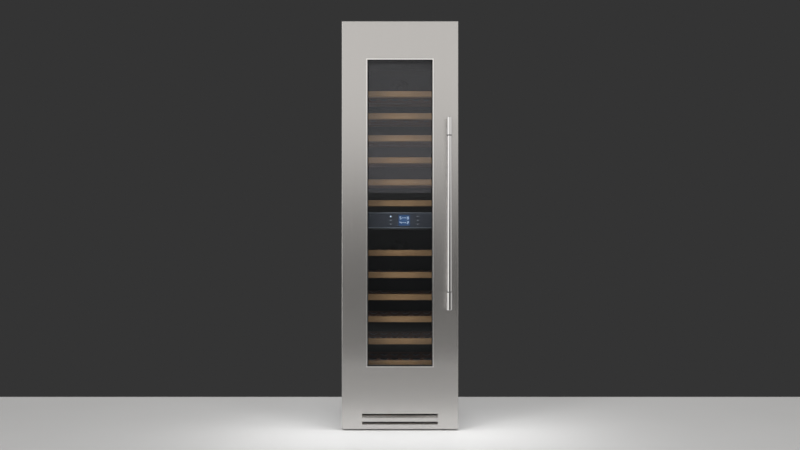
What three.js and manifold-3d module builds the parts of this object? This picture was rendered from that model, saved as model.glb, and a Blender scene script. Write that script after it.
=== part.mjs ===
// Column wine cooler: two cooled zones behind one tall glass door.
// Millimetres, +Z up, +X to the right seen from the front, and the front faces -Y.
// The origin is on the floor, under the middle of the whole object.

import * as THREE from "three";
import { mergeVertices } from "three/addons/utils/BufferGeometryUtils.js";
import Module from "manifold-3d";

const wasm = await Module();
wasm.setup();

// ---------------------------------------------------------------- driving dimensions

const UNIT_WIDTH = 607; // door, edge to edge
const UNIT_HEIGHT = 2134; // floor to the door's top edge
const CABINET_DEPTH = 560; // casing's front edge to the back panel's outer face
const DOOR_THICKNESS = 55;
const DOOR_GAP = 8; // door core to cabinet front, which the gasket fills
const DOOR_BOTTOM = 6; // clearance between the floor and the door
const DOOR_OVERLAP_TOP = 12; // the door stands this much higher than the cabinet
const DOOR_OVERLAP_SIDE = 2; // and this much wider on each side

const FIT = 0.3; // clearance between two pieces that touch
const SHEET = 1.5; // casing, back panel and door skin
const LINER_SHEET = 2.5;
const SIDE_WALL = 49; // casing's outer face to liner's inner face
const BACK_WALL = 50;
const TOP_WALL = 150; // insulation over the upper zone
const BASE_HEIGHT = 300; // floor of the lower zone
const FLOOR_INSULATION = 45;
const DIVIDER_HEIGHT = 87; // between the two zones

const SHELVES_PER_ZONE = 6;
const SHELF_SETBACK = 32; // shelf fronts behind the cabinet's front edge
const SHELF_REAR_GAP = 23; // shelf's back to the duct cover
const SHELF_FRONT_HEIGHT = 32;
const SHELF_FRONT_THICKNESS = 18;
const SHELF_SIDE_CLEARANCE = 3.5;
const SHELF_BAR_THICKNESS = 16;
const SHELF_BAR_BOTTOM = -12; // from the middle of the shelf front
const SHELF_BAR_PLACES = [95, 265]; // the cradle bars' fronts, behind the shelf front
const SHELF_RAIL = { side_gap: 8.5, width: 6, height: 16, rear_thickness: 5 };
const CRADLE_COUNT = 8;
const CRADLE_DEPTH = 13;
const CRADLE_CREST = 8; // flat between two cradles
const CRADLE_SIDES = 3; // straight steps round a cradle
const FLOOR_RISE = 34.5; // lower zone's floor to its lowest shelf's middle
const UPPER_FLOOR_RISE = 47.5;
const UPPER_FIRST_STEP_LESS = 7; // upper zone's lowest step is this much shorter
const LOWER_HEADROOM = 130.5; // top shelf's middle to the ceiling
const UPPER_HEADROOM = 204;
const RACK_UPRIGHT = { thickness: 6, width: 20, setback: 20, top_gap: 30 };
const RACK_LEDGE = { width: 15, thickness: 2, front_gap: 4 };
const RACK_TIE = { height: 16, thickness: 3, gap: 2 };

const STILE_WIDTH = 133.5; // door edge to window
const WINDOW_TOP_RAIL = 201;
const WINDOW_BOTTOM_RAIL = 329;
const TRIM_WIDTH = 6;
const TRIM_PROUD = 1.5;
const TRIM_SLEEVE = { thickness: 2, depth: 6 };
const GLASS_LAP = 12; // glass hidden behind the frame on each side
const OUTER_GLASS_THICKNESS = 5;
const INNER_GLASS_THICKNESS = 4;
const SKIN_RETURN = 25; // depth of the door skin's folded edges
const CORE_BOTTOM = 95; // below it the door is open for the cooling air
const CORE_TOP_DROP = 14; // door's top edge to the core's top
const VENT_LENGTH = 393;
const VENTS = [
  { rise: 26, height: 13 },
  { rise: 61, height: 19 },
]; // air slots, from the door's bottom edge
const VENT_LIP = { depth: 12, rise_share: 0.5 }; // folded in from each slot's lower edge

const GASKET = { inset: 14, width: 14, bottom: 262, top_drop: 26 };
const HANDLE_EDGE = 49.8; // door edge to the handle's axis
const HANDLE_AXIS_OUT = 47; // door face to the handle's axis
const HANDLE_LENGTH = 996;
const HANDLE_MIDDLE = 1130; // above the floor
const HANDLE_RADIUS = 13.5;
const HANDLE_END_RADIUS = 15;
const HANDLE_END_LENGTH = 92;
const HANDLE_GROOVE = { width: 4, radius: 12 };
const HANDLE_CHAMFER = 2;
const HANDLE_POST = { radius: 8, foot_radius: 13, foot: 3, from_end: 46 };

const HINGE_INSET = 12; // door edge to the hinge axis
const HINGE_BACK = 27; // hinge axis to the door's inner face
const HINGE_PIN_RADIUS = 5;
const HINGE_PIN_REACH = 32;
const HINGE_ARM = { half_width: 9, thickness: 5, door_gap: 4 };
const HINGE_HOLE = { slack: 1, deeper: 3 };
const HINGE_LEAF = { length: 60, width: 70, height: 80, thickness: 4, setback: 5, pan_gap: 4 };
const HINGE_RELIEF = { front: 5, margin: 2, top_height: 12, bottom_height: 17 }; // in the skin's edge

const PANEL_MARGIN = 2; // control panel to each zone's opening
const FASCIA_THICKNESS = 3;
const HOUSING_DEPTH = 50;
const DISPLAY = { x: 22.6, width: 60, height: 57, depth: 11, setback: 0.6 };
const DISPLAY_EAR = { reach: 4, thickness: 2, height: 41 };
const KEY = { width: 22, height: 10, offset: 72, pitch: 20.5, proud: 1, rim: 1.5, stem: 2 };
const BOARD = { width: 200, height: 66, thickness: 1.6, behind: 15 };
const BOARD_PARTS = [
  { x: -60, z: 12, width: 28, height: 16, depth: 15 },
  { x: -20, z: 12, width: 28, height: 16, depth: 15 },
  { x: 50, z: -8, width: 36, height: 30, depth: 20 },
  { x: -50, z: -18, width: 60, height: 12, depth: 9 },
]; // relays, transformer and sockets, from the display's middle

const DUCT_SHEET = 3;
const DUCT_MARGIN = 2; // duct cover's edges to the liner
const DUCT_EDGE_FOLD = 14;
const DUCT_DEPTH = 50; // duct cover's face to the liner's back
const DUCT_FAN_DROP = 110; // ceiling to the fan's axis
const DUCT_FAN_RADIUS = 50;
const DUCT_COLLAR = 18;
const DUCT_SLOT = { width: 150, height: 6, pitch: 30, rows: 3, bottom: 60, side: 30 };
const FAN_CARRIER = { tip_gap: 4, wall: 3, arm_width: 8, arm_depth: 3, motor_share: 0.36, motor_depth: 18 };
const FAN_ARMS = 3;
const FAN_THINNER = 6; // rotor, than the collar round it
const BLADE = { count: 5, root_share: 0.25, chord_share: 0.48, thickness: 1.8, pitch_angle: 32 };
const HUB_SHARE = 0.33; // of a rotor's radius
const EVAPORATOR = { width: 340, height: 150, depth: 34, fins: 12, drop: 200 };
const FIN_SHEET = 1.6;
const COIL_TUBE = { height: 8, proud: 2, places: [0.2, 0.8] };
const COIL_GAP = 4; // evaporator to the liner's back
const LIGHT = { length: 300, width: 14, height: 6, side_height: 2, chamfer: 4, behind: 70 };

const FOOT_CLEARANCE = 20; // floor to the base pan
const FOOT = { radius: 22, pad: 8, chamfer: 2, nut: 11, nut_height: 6, stem: 5, stem_top: 48, inset: 55 };
const PAN_SHEET = 2;
const PAN_RIM = 25;
const COMPRESSOR = { x: 150, from_back: 150, radius: 62, height: 168, plate: [176, 120, 3], wall_gap: 10 };
const COMPRESSOR_MOUNT = { radius: 11, height: 14, inset: 14, nut: 3 };
const POT_PROFILE = [
  [0.8, 0], [1, 0.12], [1, 0.5], [1.04, 0.5], [1.04, 0.54], [1, 0.54], [1, 0.8], [0.86, 0.92], [0.5, 0.98],
]; // shares of the pot's radius and height, with its welded seam at half height
const MACHINE_RISE = 8; // base pan to the condenser and its fan's frame
const CONDENSER = { x: -140, behind: 80, width: 180, height: 160, depth: 50, fins: 15, wall_gap: 30 };
const FAN_FRAME = { size: 170, thickness: 3, gap: 16, radius: 70, collar: 18, foot: 30 };
const TRAY = { x: -125, from_back: 180, width: 200, length: 140, height: 30, sheet: 2 };
const INLET = { x: 225, z: 150, width: 50, height: 34, depth: 30, flange: 5, flange_depth: 22, floor: 14 };
const INLET_RECESS = { side: 10, rise: 8 };
const INLET_PIN = { width: 2, height: 4, length: 13, pitch: 7 };
const PIPE_RADIUS = 4;
const PIPE_GAP = 3; // pipe's ends to the pieces that it joins
const PIPE_STEPS = 20;
const BACK_VENTS = { rows: 6, columns: 2, width: 150, height: 6, pitch: 20, bottom: 75 };

const OVERLAP = 1; // how far solids that make one piece run into each other
const ROUND = 24; // sides of a round piece that shows
const PLAIN_ROUND = 16; // sides of a round piece inside
const STEM_ROUND = 12; // sides of a screw and its hole
const THIN_ROUND = 8; // sides of a pipe or a key's stem

// ---------------------------------------------------------------- derived places

const doorHalf = UNIT_WIDTH / 2;
const casingHalf = doorHalf - DOOR_OVERLAP_SIDE;
const innerHalf = casingHalf - SIDE_WALL;
const casingTop = UNIT_HEIGHT - DOOR_OVERLAP_TOP;
const handleReach = HANDLE_AXIS_OUT + HANDLE_END_RADIUS;
const totalDepth = handleReach + DOOR_THICKNESS + DOOR_GAP + CABINET_DEPTH;
const doorFront = -totalDepth / 2 + handleReach;
const cabinetFront = doorFront + DOOR_THICKNESS + DOOR_GAP;
const cabinetBack = totalDepth / 2;
const innerBack = cabinetBack - BACK_WALL;
const shelfFront = cabinetFront + SHELF_SETBACK;
const shelfHalf = innerHalf - SHELF_SIDE_CLEARANCE;

const lowerFloor = BASE_HEIGHT;
const upperCeiling = casingTop - TOP_WALL;
const shelfSteps = 2 * (SHELVES_PER_ZONE - 1);
const shelfSpan = upperCeiling - lowerFloor - FLOOR_RISE - LOWER_HEADROOM - DIVIDER_HEIGHT
  - UPPER_FLOOR_RISE - UPPER_HEADROOM + UPPER_FIRST_STEP_LESS;
const shelfPitch = shelfSpan / shelfSteps;
const lowerCeiling = lowerFloor + FLOOR_RISE + (SHELVES_PER_ZONE - 1) * shelfPitch + LOWER_HEADROOM;
const upperFloor = lowerCeiling + DIVIDER_HEIGHT;
const foamBottom = lowerFloor - FLOOR_INSULATION;

const windowHalf = doorHalf - STILE_WIDTH;
const windowBottom = DOOR_BOTTOM + WINDOW_BOTTOM_RAIL;
const windowTop = UNIT_HEIGHT - WINDOW_TOP_RAIL;
const coreTop = UNIT_HEIGHT - CORE_TOP_DROP;
const hingeX = -doorHalf + HINGE_INSET;
const hingeInDoor = DOOR_THICKNESS - HINGE_BACK; // behind the door's face
const hingeY = doorFront + hingeInDoor;
const handleX = doorHalf - HANDLE_EDGE;
const panelMiddle = (lowerCeiling + upperFloor) / 2;
const ductFront = innerBack - DUCT_DEPTH;
const shelfDepth = ductFront - SHELF_REAR_GAP - shelfFront;
const panTop = FOOT_CLEARANCE + PAN_SHEET;
const casingInner = casingHalf - SHEET;
const insideCasing = casingInner - FIT;
const insideTop = casingTop - SHEET - FIT;
const hingeArmLeft = hingeX - HINGE_ARM.half_width;
const inletX = Math.min(INLET.x, casingInner - INLET.width);
const far = 2 * totalDepth; // longer than anything it cuts

// ---------------------------------------------------------------- solids

/** A closed three.js geometry as a manifold solid. */
function solid(geometry) {
  const bare = geometry.index ? geometry.toNonIndexed() : geometry.clone();
  bare.deleteAttribute("normal");
  bare.deleteAttribute("uv");
  const merged = mergeVertices(bare, 1e-4);
  const corners = merged.index.array;
  const kept = [];
  for (let i = 0; i < corners.length; i += 3) {
    const [a, b, c] = [corners[i], corners[i + 1], corners[i + 2]];
    if (a !== b && b !== c && c !== a) kept.push(a, b, c);
  }
  const vertProperties = new Float32Array(merged.attributes.position.array);
  const triVerts = new Uint32Array(kept);
  return new wasm.Manifold(new wasm.Mesh({ numProp: 3, vertProperties, triVerts }));
}

/** A manifold solid as a three.js geometry. */
function geometryOf(shape) {
  const mesh = shape.getMesh();
  const geometry = new THREE.BufferGeometry();
  geometry.setAttribute("position", new THREE.BufferAttribute(mesh.vertProperties, 3));
  geometry.setIndex(new THREE.BufferAttribute(mesh.triVerts, 1));
  geometry.computeVertexNormals();
  return geometry;
}

/** A block between two x, two y and two z values. */
function block([x0, x1], [y0, y1], [z0, z1]) {
  const geometry = new THREE.BoxGeometry(x1 - x0, y1 - y0, z1 - z0);
  geometry.translate((x0 + x1) / 2, (y0 + y1) / 2, (z0 + z1) / 2);
  return solid(geometry);
}

/** A round bar along X, Y or Z, from one value on that axis to another. */
function bar(axis, [u, v], from, to, radius, sides = ROUND) {
  const geometry = new THREE.CylinderGeometry(radius, radius, to - from, sides);
  const middle = (from + to) / 2;
  if (axis === "x") geometry.rotateZ(-Math.PI / 2).translate(middle, u, v);
  if (axis === "y") geometry.translate(u, middle, v);
  if (axis === "z") geometry.rotateX(Math.PI / 2).translate(u, v, middle);
  return solid(geometry);
}

/** A turned piece about the Z axis, from a profile of [radius, z] that starts and ends on the axis. */
function turned(profile, sides = ROUND) {
  const points = profile.map(([r, z]) => new THREE.Vector2(r, z));
  const geometry = new THREE.LatheGeometry(points, sides);
  geometry.rotateX(Math.PI / 2);
  return solid(geometry);
}

/** A shape drawn in X and Z, carried from one y to another. */
function slab(points, y0, y1) {
  const shape = new THREE.Shape(points.map(([x, z]) => new THREE.Vector2(x, z)));
  const geometry = new THREE.ExtrudeGeometry(shape, { depth: y1 - y0, bevelEnabled: false });
  geometry.rotateX(Math.PI / 2).translate(0, y1, 0);
  return solid(geometry);
}

/** A shape drawn in Y and Z, carried from one x to another. */
function beam(points, x0, x1) {
  const shape = new THREE.Shape(points.map(([y, z]) => new THREE.Vector2(y, z)));
  const geometry = new THREE.ExtrudeGeometry(shape, { depth: x1 - x0, bevelEnabled: false });
  geometry.rotateY(Math.PI / 2).rotateX(Math.PI / 2).translate(x0, 0, 0);
  return solid(geometry);
}

const join = (first, ...others) => others.reduce((sum, next) => sum.add(next), first);
const cut = (first, ...others) => others.reduce((sum, next) => sum.subtract(next), first);
const both = (half) => [-half, half];
const range = (count) => Array.from({ length: count }, (_, i) => i);
const span = (start, size) => [start, start + size];

// ---------------------------------------------------------------- finishes

const finish = (color, roughness, metalness) => ({ color, roughness, metalness });
const FINISH = {
  steel: finish(0xb4b0ac, 0.32, 1),
  polished: finish(0xd2d0cd, 0.15, 1),
  galvanised: finish(0x9a9c9e, 0.5, 1),
  painted: finish(0x2b2d30, 0.6, 0.2),
  foam: finish(0xd9cfa0, 0.95, 0),
  liner: finish(0x1c1d20, 0.55, 0),
  rubber: finish(0x121213, 0.85, 0),
  glass: finish(0x4c5257, 0.05, 0),
  wood: finish(0x7a5a3a, 0.55, 0),
  plastic: finish(0x33383f, 0.45, 0),
  display: finish(0x3a66b0, 0.2, 0),
  board: finish(0x1e5a35, 0.6, 0),
  lamp: finish(0xe8eef5, 0.4, 0),
  aluminium: finish(0xb9bcc0, 0.4, 1),
  copper: finish(0xb06a44, 0.35, 1),
};

const cooler = new THREE.Group();

/** A named piece in its parent group. Pieces that are alike share one geometry. */
function piece(parent, name, shape, look, place = [0, 0, 0]) {
  const geometry = shape.isBufferGeometry ? shape : geometryOf(shape);
  const mesh = new THREE.Mesh(geometry, new THREE.MeshStandardMaterial(FINISH[look]));
  mesh.name = name;
  mesh.position.set(...place);
  parent.add(mesh);
  return mesh;
}

// ---------------------------------------------------------------- cabinet shell

const cabinet = new THREE.Group();
cooler.add(cabinet);

function outerCasing() {
  const outside = block(both(casingHalf), [cabinetFront, cabinetBack], [FOOT_CLEARANCE, casingTop]);
  return cut(outside, block(both(casingInner), both(far), [-far, casingTop - SHEET]));
}

function backPanel() {
  const sheet = [cabinetBack - SHEET, cabinetBack];
  let panel = block(both(insideCasing), sheet, [panTop + FIT, insideTop]);
  const middle = casingInner / 2;
  for (const column of range(BACK_VENTS.columns)) {
    const x = (column - (BACK_VENTS.columns - 1) / 2) * middle;
    for (const row of range(BACK_VENTS.rows)) {
      const z = BACK_VENTS.bottom + row * BACK_VENTS.pitch;
      const width = [x - BACK_VENTS.width / 2, x + BACK_VENTS.width / 2];
      panel = cut(panel, block(width, both(far), span(z, BACK_VENTS.height)));
    }
  }
  const inletHalf = INLET.width / 2 + FIT;
  const inletRise = INLET.height / 2 + FIT;
  const inletWidth = [inletX - inletHalf, inletX + inletHalf];
  return cut(panel, block(inletWidth, both(far), [INLET.z - inletRise, INLET.z + inletRise]));
}

function footPlaces() {
  const x = casingInner - FOOT.inset;
  const front = cabinetFront + FOOT.inset;
  const back = cabinetBack - FOOT.inset;
  return {
    front_left: [-x, front],
    front_right: [x, front],
    rear_left: [-x, back],
    rear_right: [x, back],
  };
}

function basePan() {
  const front = cabinetFront + FIT;
  const back = cabinetBack - SHEET - FIT;
  const top = panTop + PAN_RIM;
  const outside = block(both(insideCasing), [front, back], [FOOT_CLEARANCE, top]);
  const inside = [front + PAN_SHEET, back - PAN_SHEET];
  let pan = cut(outside, block(both(insideCasing - PAN_SHEET), inside, [panTop, far]));
  for (const [x, y] of Object.values(footPlaces())) {
    pan = cut(pan, bar("z", [x, y], -far, far, FOOT.stem + 2 * FIT, STEM_ROUND));
  }
  return pan;
}

/** One zone's liner: a box open at the front, with a flange that covers the insulation's edge. */
function liner(floor, ceiling, flangeHeight, stepAt) {
  const back = innerBack + LINER_SHEET;
  const side = innerHalf + LINER_SHEET;
  const box = block(both(side), [cabinetFront, back], [floor - LINER_SHEET, ceiling + LINER_SHEET]);
  const flange = block(both(insideCasing), span(cabinetFront, LINER_SHEET), flangeHeight);
  const hollow = block(both(innerHalf), [-far, innerBack], [floor, ceiling]);
  const clearFascia = [stepAt - LINER_SHEET - OVERLAP, stepAt + LINER_SHEET + OVERLAP];
  const behindFascia = shelfFront + FASCIA_THICKNESS + FIT;
  return cut(join(box, flange), hollow, block(both(innerHalf), [-far, behindFascia], clearFascia));
}

function insulation() {
  const front = cabinetFront + LINER_SHEET + FIT;
  const back = cabinetBack - SHEET - FIT;
  const foam = block(both(insideCasing), [front, back], [foamBottom, insideTop]);
  const side = innerHalf + LINER_SHEET + FIT;
  const deep = innerBack + LINER_SHEET + FIT;
  const reach = LINER_SHEET + FIT;
  const upper = block(both(side), [-far, deep], [upperFloor - reach, upperCeiling + reach]);
  const lower = block(both(side), [-far, deep], [lowerFloor - reach, lowerCeiling + reach]);
  const housing = block(both(side), [-far, housingBack + FIT], [lowerCeiling, upperFloor]);
  return cut(foam, upper, lower, housing);
}

// ---------------------------------------------------------------- control panel

const housingBottom = lowerCeiling + LINER_SHEET + FIT;
const housingTop = upperFloor - LINER_SHEET - FIT;
const fasciaBack = shelfFront + FASCIA_THICKNESS;
const housingBack = fasciaBack + HOUSING_DEPTH;
const keyColumns = { left: DISPLAY.x - KEY.offset, right: DISPLAY.x + KEY.offset };
const keyRows = { top: KEY.pitch, middle: 0, bottom: -KEY.pitch };

function keyPlaces() {
  const places = {};
  for (const [side, x] of Object.entries(keyColumns)) {
    for (const [row, z] of Object.entries(keyRows)) {
      places[`key_${side}_${row}`] = [x, shelfFront, panelMiddle + z];
    }
  }
  return places;
}

/** Open-fronted box in the divider, with cheeks that reach the cabinet's front edge. */
function controlHousing() {
  const side = innerHalf + LINER_SHEET;
  const height = [housingBottom, housingTop];
  const outside = block(both(side), [cabinetFront, housingBack], height);
  const flange = block(both(insideCasing), span(cabinetFront, LINER_SHEET), height);
  const pocketHeight = [housingBottom + LINER_SHEET, housingTop - LINER_SHEET];
  const pocket = block(both(innerHalf), [fasciaBack, housingBack - LINER_SHEET], pocketHeight);
  const mouth = block(both(innerHalf), [-far, fasciaBack + FIT], [-far, far]);
  return cut(join(outside, flange), pocket, mouth);
}

function controlFascia() {
  const height = [lowerCeiling + PANEL_MARGIN, upperFloor - PANEL_MARGIN];
  let plate = block(both(shelfHalf), [shelfFront, fasciaBack], height);
  const window = DISPLAY.width / 2 + FIT;
  const rise = DISPLAY.height / 2 + FIT;
  const windowZ = [panelMiddle - rise, panelMiddle + rise];
  plate = cut(plate, block([DISPLAY.x - window, DISPLAY.x + window], both(far), windowZ));
  for (const [x, , z] of Object.values(keyPlaces())) {
    const w = KEY.width / 2 + FIT;
    const h = KEY.height / 2 + FIT;
    plate = cut(plate, block([x - w, x + w], both(far), [z - h, z + h]));
  }
  return plate;
}

function displayModule() {
  const glassX = [DISPLAY.x - DISPLAY.width / 2, DISPLAY.x + DISPLAY.width / 2];
  const glassZ = [panelMiddle - DISPLAY.height / 2, panelMiddle + DISPLAY.height / 2];
  const body = block(glassX, span(shelfFront + DISPLAY.setback, DISPLAY.depth), glassZ);
  const earX = [glassX[0] - DISPLAY_EAR.reach, glassX[1] + DISPLAY_EAR.reach];
  const earZ = span(panelMiddle - DISPLAY_EAR.height / 2, DISPLAY_EAR.height);
  return join(body, block(earX, span(fasciaBack + FIT, DISPLAY_EAR.thickness), earZ));
}

/** One key about the middle of its cap, with its face KEY.proud in front of y = 0. */
function key() {
  const cap = block(both(KEY.width / 2), [-KEY.proud, FASCIA_THICKNESS + OVERLAP], both(KEY.height / 2));
  const rimY = span(FASCIA_THICKNESS + FIT, KEY.rim);
  const rim = block(both(KEY.width / 2 + KEY.rim), rimY, both(KEY.height / 2 + KEY.rim));
  const stemEnd = BOARD.behind - KEY.proud - 2 * FIT;
  const stem = bar("y", [0, 0], FASCIA_THICKNESS, stemEnd, KEY.stem, THIN_ROUND);
  return join(cap, rim, stem);
}

function controlBoard() {
  const sheetY = span(shelfFront + BOARD.behind, BOARD.thickness);
  const sheetX = span(DISPLAY.x - BOARD.width / 2, BOARD.width);
  const sheet = block(sheetX, sheetY, span(panelMiddle - BOARD.height / 2, BOARD.height));
  const parts = BOARD_PARTS.map(({ x, z, width, height, depth }) => {
    const partY = [sheetY[1] - BOARD.thickness / 2, sheetY[1] + depth];
    return block(span(DISPLAY.x + x, width), partY, span(panelMiddle + z, height));
  });
  return join(sheet, ...parts);
}

// ---------------------------------------------------------------- shelves and racks

const railOuter = innerHalf - SHELF_RAIL.side_gap;
const railInner = railOuter - SHELF_RAIL.width;
const barHalf = railInner + OVERLAP;

/** A cross bar whose top edge has one round cradle for each bottle. */
function cradleBar(front) {
  const pitch = (2 * barHalf) / CRADLE_COUNT;
  const top = SHELF_FRONT_HEIGHT / 2 - OVERLAP;
  const halfChord = (pitch - CRADLE_CREST) / 2;
  const radius = (halfChord ** 2 + CRADLE_DEPTH ** 2) / (2 * CRADLE_DEPTH);
  const sweep = Math.asin(halfChord / radius);
  const outline = [[-barHalf, SHELF_BAR_BOTTOM], [barHalf, SHELF_BAR_BOTTOM], [barHalf, top]];
  for (const i of range(CRADLE_COUNT)) {
    const middle = barHalf - (i + 0.5) * pitch;
    for (const step of range(CRADLE_SIDES + 1)) {
      const angle = sweep * (1 - (2 * step) / CRADLE_SIDES);
      const drop = CRADLE_DEPTH - radius * (1 - Math.cos(angle));
      outline.push([middle + radius * Math.sin(angle), top - drop]);
    }
  }
  outline.push([-barHalf, top]);
  return slab(outline, front, front + SHELF_BAR_THICKNESS);
}

/** One pull-out shelf, with y = 0 at its front face and z = 0 at the middle of its front board. */
function shelf() {
  const board = block(both(shelfHalf), [0, SHELF_FRONT_THICKNESS], both(SHELF_FRONT_HEIGHT / 2));
  const railHeight = span(SHELF_BAR_BOTTOM, SHELF_RAIL.height);
  const length = [SHELF_FRONT_THICKNESS - OVERLAP, shelfDepth];
  const rails = [-1, 1].map((side) => block(
    side < 0 ? [-railOuter, -railInner] : [railInner, railOuter], length, railHeight,
  ));
  const rearY = span(shelfDepth - OVERLAP - SHELF_RAIL.rear_thickness, SHELF_RAIL.rear_thickness);
  const rear = block(both(railOuter - OVERLAP), rearY, railHeight);
  return join(board, ...rails, rear, ...SHELF_BAR_PLACES.map(cradleBar));
}

const lowerLevels = range(SHELVES_PER_ZONE).map((i) => lowerFloor + FLOOR_RISE + i * shelfPitch);
const upperLevels = range(SHELVES_PER_ZONE).map(
  (i) => upperFloor + UPPER_FLOOR_RISE + i * shelfPitch - (i > 0 ? UPPER_FIRST_STEP_LESS : 0),
);

/** Two side ladders whose ledges carry a zone's shelves, tied together behind them. */
function rack(levels, floor, ceiling) {
  const outer = innerHalf - FIT;
  const inner = outer - RACK_UPRIGHT.thickness;
  const front = shelfFront + SHELF_FRONT_THICKNESS + RACK_LEDGE.front_gap;
  const tieY = span(shelfFront + shelfDepth + RACK_TIE.gap, RACK_TIE.thickness);
  const height = [floor + FIT, ceiling - RACK_UPRIGHT.top_gap];
  const uprights = [front + RACK_UPRIGHT.setback, tieY[1] - RACK_UPRIGHT.width];
  const solids = [];
  for (const side of [-1, 1]) {
    const across = (a, b) => (side < 0 ? [-b, -a] : [a, b]);
    for (const y of uprights) {
      solids.push(block(across(inner, outer), span(y, RACK_UPRIGHT.width), height));
    }
    for (const level of levels) {
      const top = level + SHELF_BAR_BOTTOM - FIT;
      const reach = across(inner - RACK_LEDGE.width, inner + OVERLAP);
      solids.push(block(reach, [front, tieY[0] - OVERLAP], [top - RACK_LEDGE.thickness, top]));
    }
  }
  for (const z of [height[0], height[1] - RACK_TIE.height]) {
    solids.push(block(both(inner + OVERLAP), tieY, span(z, RACK_TIE.height)));
  }
  return join(...solids);
}

// ---------------------------------------------------------------- air ducts, coils, lights and fans

/** Radius of the middle of a fan carrier's ring, round a rotor of this radius. */
const ringMiddle = (radius) => radius + FAN_CARRIER.tip_gap + FAN_CARRIER.wall / 2;

/** Ring, arms and a motor in the middle, about the Y axis: it holds a fan behind a sheet. */
function fanCarrier(radius, front, depth) {
  const { tip_gap: tipGap, wall, arm_width: armWidth, arm_depth: armDepth } = FAN_CARRIER;
  const back = front + depth;
  const ring = cut(
    bar("y", [0, 0], front, back, radius + tipGap + wall, PLAIN_ROUND),
    bar("y", [0, 0], front - OVERLAP, back + OVERLAP, radius + tipGap, PLAIN_ROUND),
  );
  const arms = range(FAN_ARMS).map((i) => {
    const arm = block([0, ringMiddle(radius)], [back - armDepth, back], both(armWidth / 2));
    return arm.rotate([0, (i * 360) / FAN_ARMS, 0]);
  });
  const motorFront = back - armDepth - OVERLAP;
  const motorRadius = radius * FAN_CARRIER.motor_share;
  const motor = bar("y", [0, 0], motorFront, motorFront + FAN_CARRIER.motor_depth, motorRadius, PLAIN_ROUND);
  return join(ring, ...arms, motor);
}

/** Fan rotor about the Y axis: a hub and pitched blades. */
function rotor(radius, thickness) {
  const hub = bar("y", [0, 0], -thickness / 2, thickness / 2, radius * HUB_SHARE, PLAIN_ROUND);
  const chord = both((radius * BLADE.chord_share) / 2);
  const blades = range(BLADE.count).map((i) => {
    const blade = block([radius * BLADE.root_share, radius], both(BLADE.thickness / 2), chord);
    return blade.rotate([BLADE.pitch_angle, 0, 0]).rotate([0, (i * 360) / BLADE.count, 0]);
  });
  const disc = bar("y", [0, 0], -thickness / 2, thickness / 2, radius, PLAIN_ROUND);
  return join(hub, ...blades).intersect(disc);
}

const rotorThickness = DUCT_COLLAR - FAN_THINNER;

/** Sheet in front of a zone's coil, with air slots, a fan opening and folded edges. */
function ductCover(floor, ceiling) {
  const half = innerHalf - DUCT_MARGIN;
  const height = [floor + DUCT_MARGIN, ceiling - DUCT_MARGIN];
  const innerHeight = [height[0] + DUCT_SHEET, height[1] - DUCT_SHEET];
  const outside = block(both(half), span(ductFront, DUCT_EDGE_FOLD), height);
  const inside = block(both(half - DUCT_SHEET), [ductFront + DUCT_SHEET, far], innerHeight);
  const fanZ = ceiling - DUCT_FAN_DROP;
  const opening = bar("y", [0, fanZ], -far, far, ringMiddle(DUCT_FAN_RADIUS), PLAIN_ROUND);
  const carrier = fanCarrier(DUCT_FAN_RADIUS, OVERLAP, DUCT_COLLAR).translate([0, ductFront, fanZ]);
  let cover = join(cut(outside, inside, opening), carrier);
  for (const side of [-1, 1]) {
    const x = side * (half - DUCT_SLOT.width / 2 - DUCT_SLOT.side);
    const width = [x - DUCT_SLOT.width / 2, x + DUCT_SLOT.width / 2];
    for (const row of range(DUCT_SLOT.rows)) {
      const z = floor + DUCT_SLOT.bottom + row * DUCT_SLOT.pitch;
      cover = cut(cover, block(width, both(far), span(z, DUCT_SLOT.height)));
    }
  }
  return cover;
}

/** Finned coil: upright fins on flat cross tubes, as one block. */
function finnedCoil({ width, height, depth, fins }) {
  const pitch = (width - FIN_SHEET) / (fins - 1);
  const plates = range(fins).map((i) => {
    const x = -width / 2 + i * pitch;
    return block(span(x, FIN_SHEET), [0, depth], [0, height]);
  });
  const tubeX = both(width / 2 + COIL_TUBE.proud);
  const tubes = COIL_TUBE.places.map((share) => (
    block(tubeX, span(-COIL_TUBE.proud, depth), span(share * height, COIL_TUBE.height))
  ));
  return join(...plates, ...tubes);
}

function lightStrip() {
  const half = LIGHT.width / 2;
  const lens = half - LIGHT.chamfer;
  const side = -LIGHT.side_height;
  const outline = [
    [-half, 0], [-half, side], [-lens, -LIGHT.height], [lens, -LIGHT.height], [half, side], [half, 0],
  ];
  return beam(outline, -LIGHT.length / 2, LIGHT.length / 2);
}

// ---------------------------------------------------------------- machine compartment

const compressorY = cabinetBack - COMPRESSOR.from_back;
const compressorReach = COMPRESSOR.plate[0] / 2 + COMPRESSOR.wall_gap;
const compressorX = Math.min(COMPRESSOR.x, insideCasing - PAN_SHEET - compressorReach);
const condenserFront = cabinetFront + CONDENSER.behind;
const condenserX = Math.max(CONDENSER.x, -insideCasing + CONDENSER.width / 2 + CONDENSER.wall_gap);
const condenserBottom = panTop + MACHINE_RISE;
const fanFrameFront = condenserFront + CONDENSER.depth + FAN_FRAME.gap;
const condenserFanZ = panTop + MACHINE_RISE + FAN_FRAME.size / 2;

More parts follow.
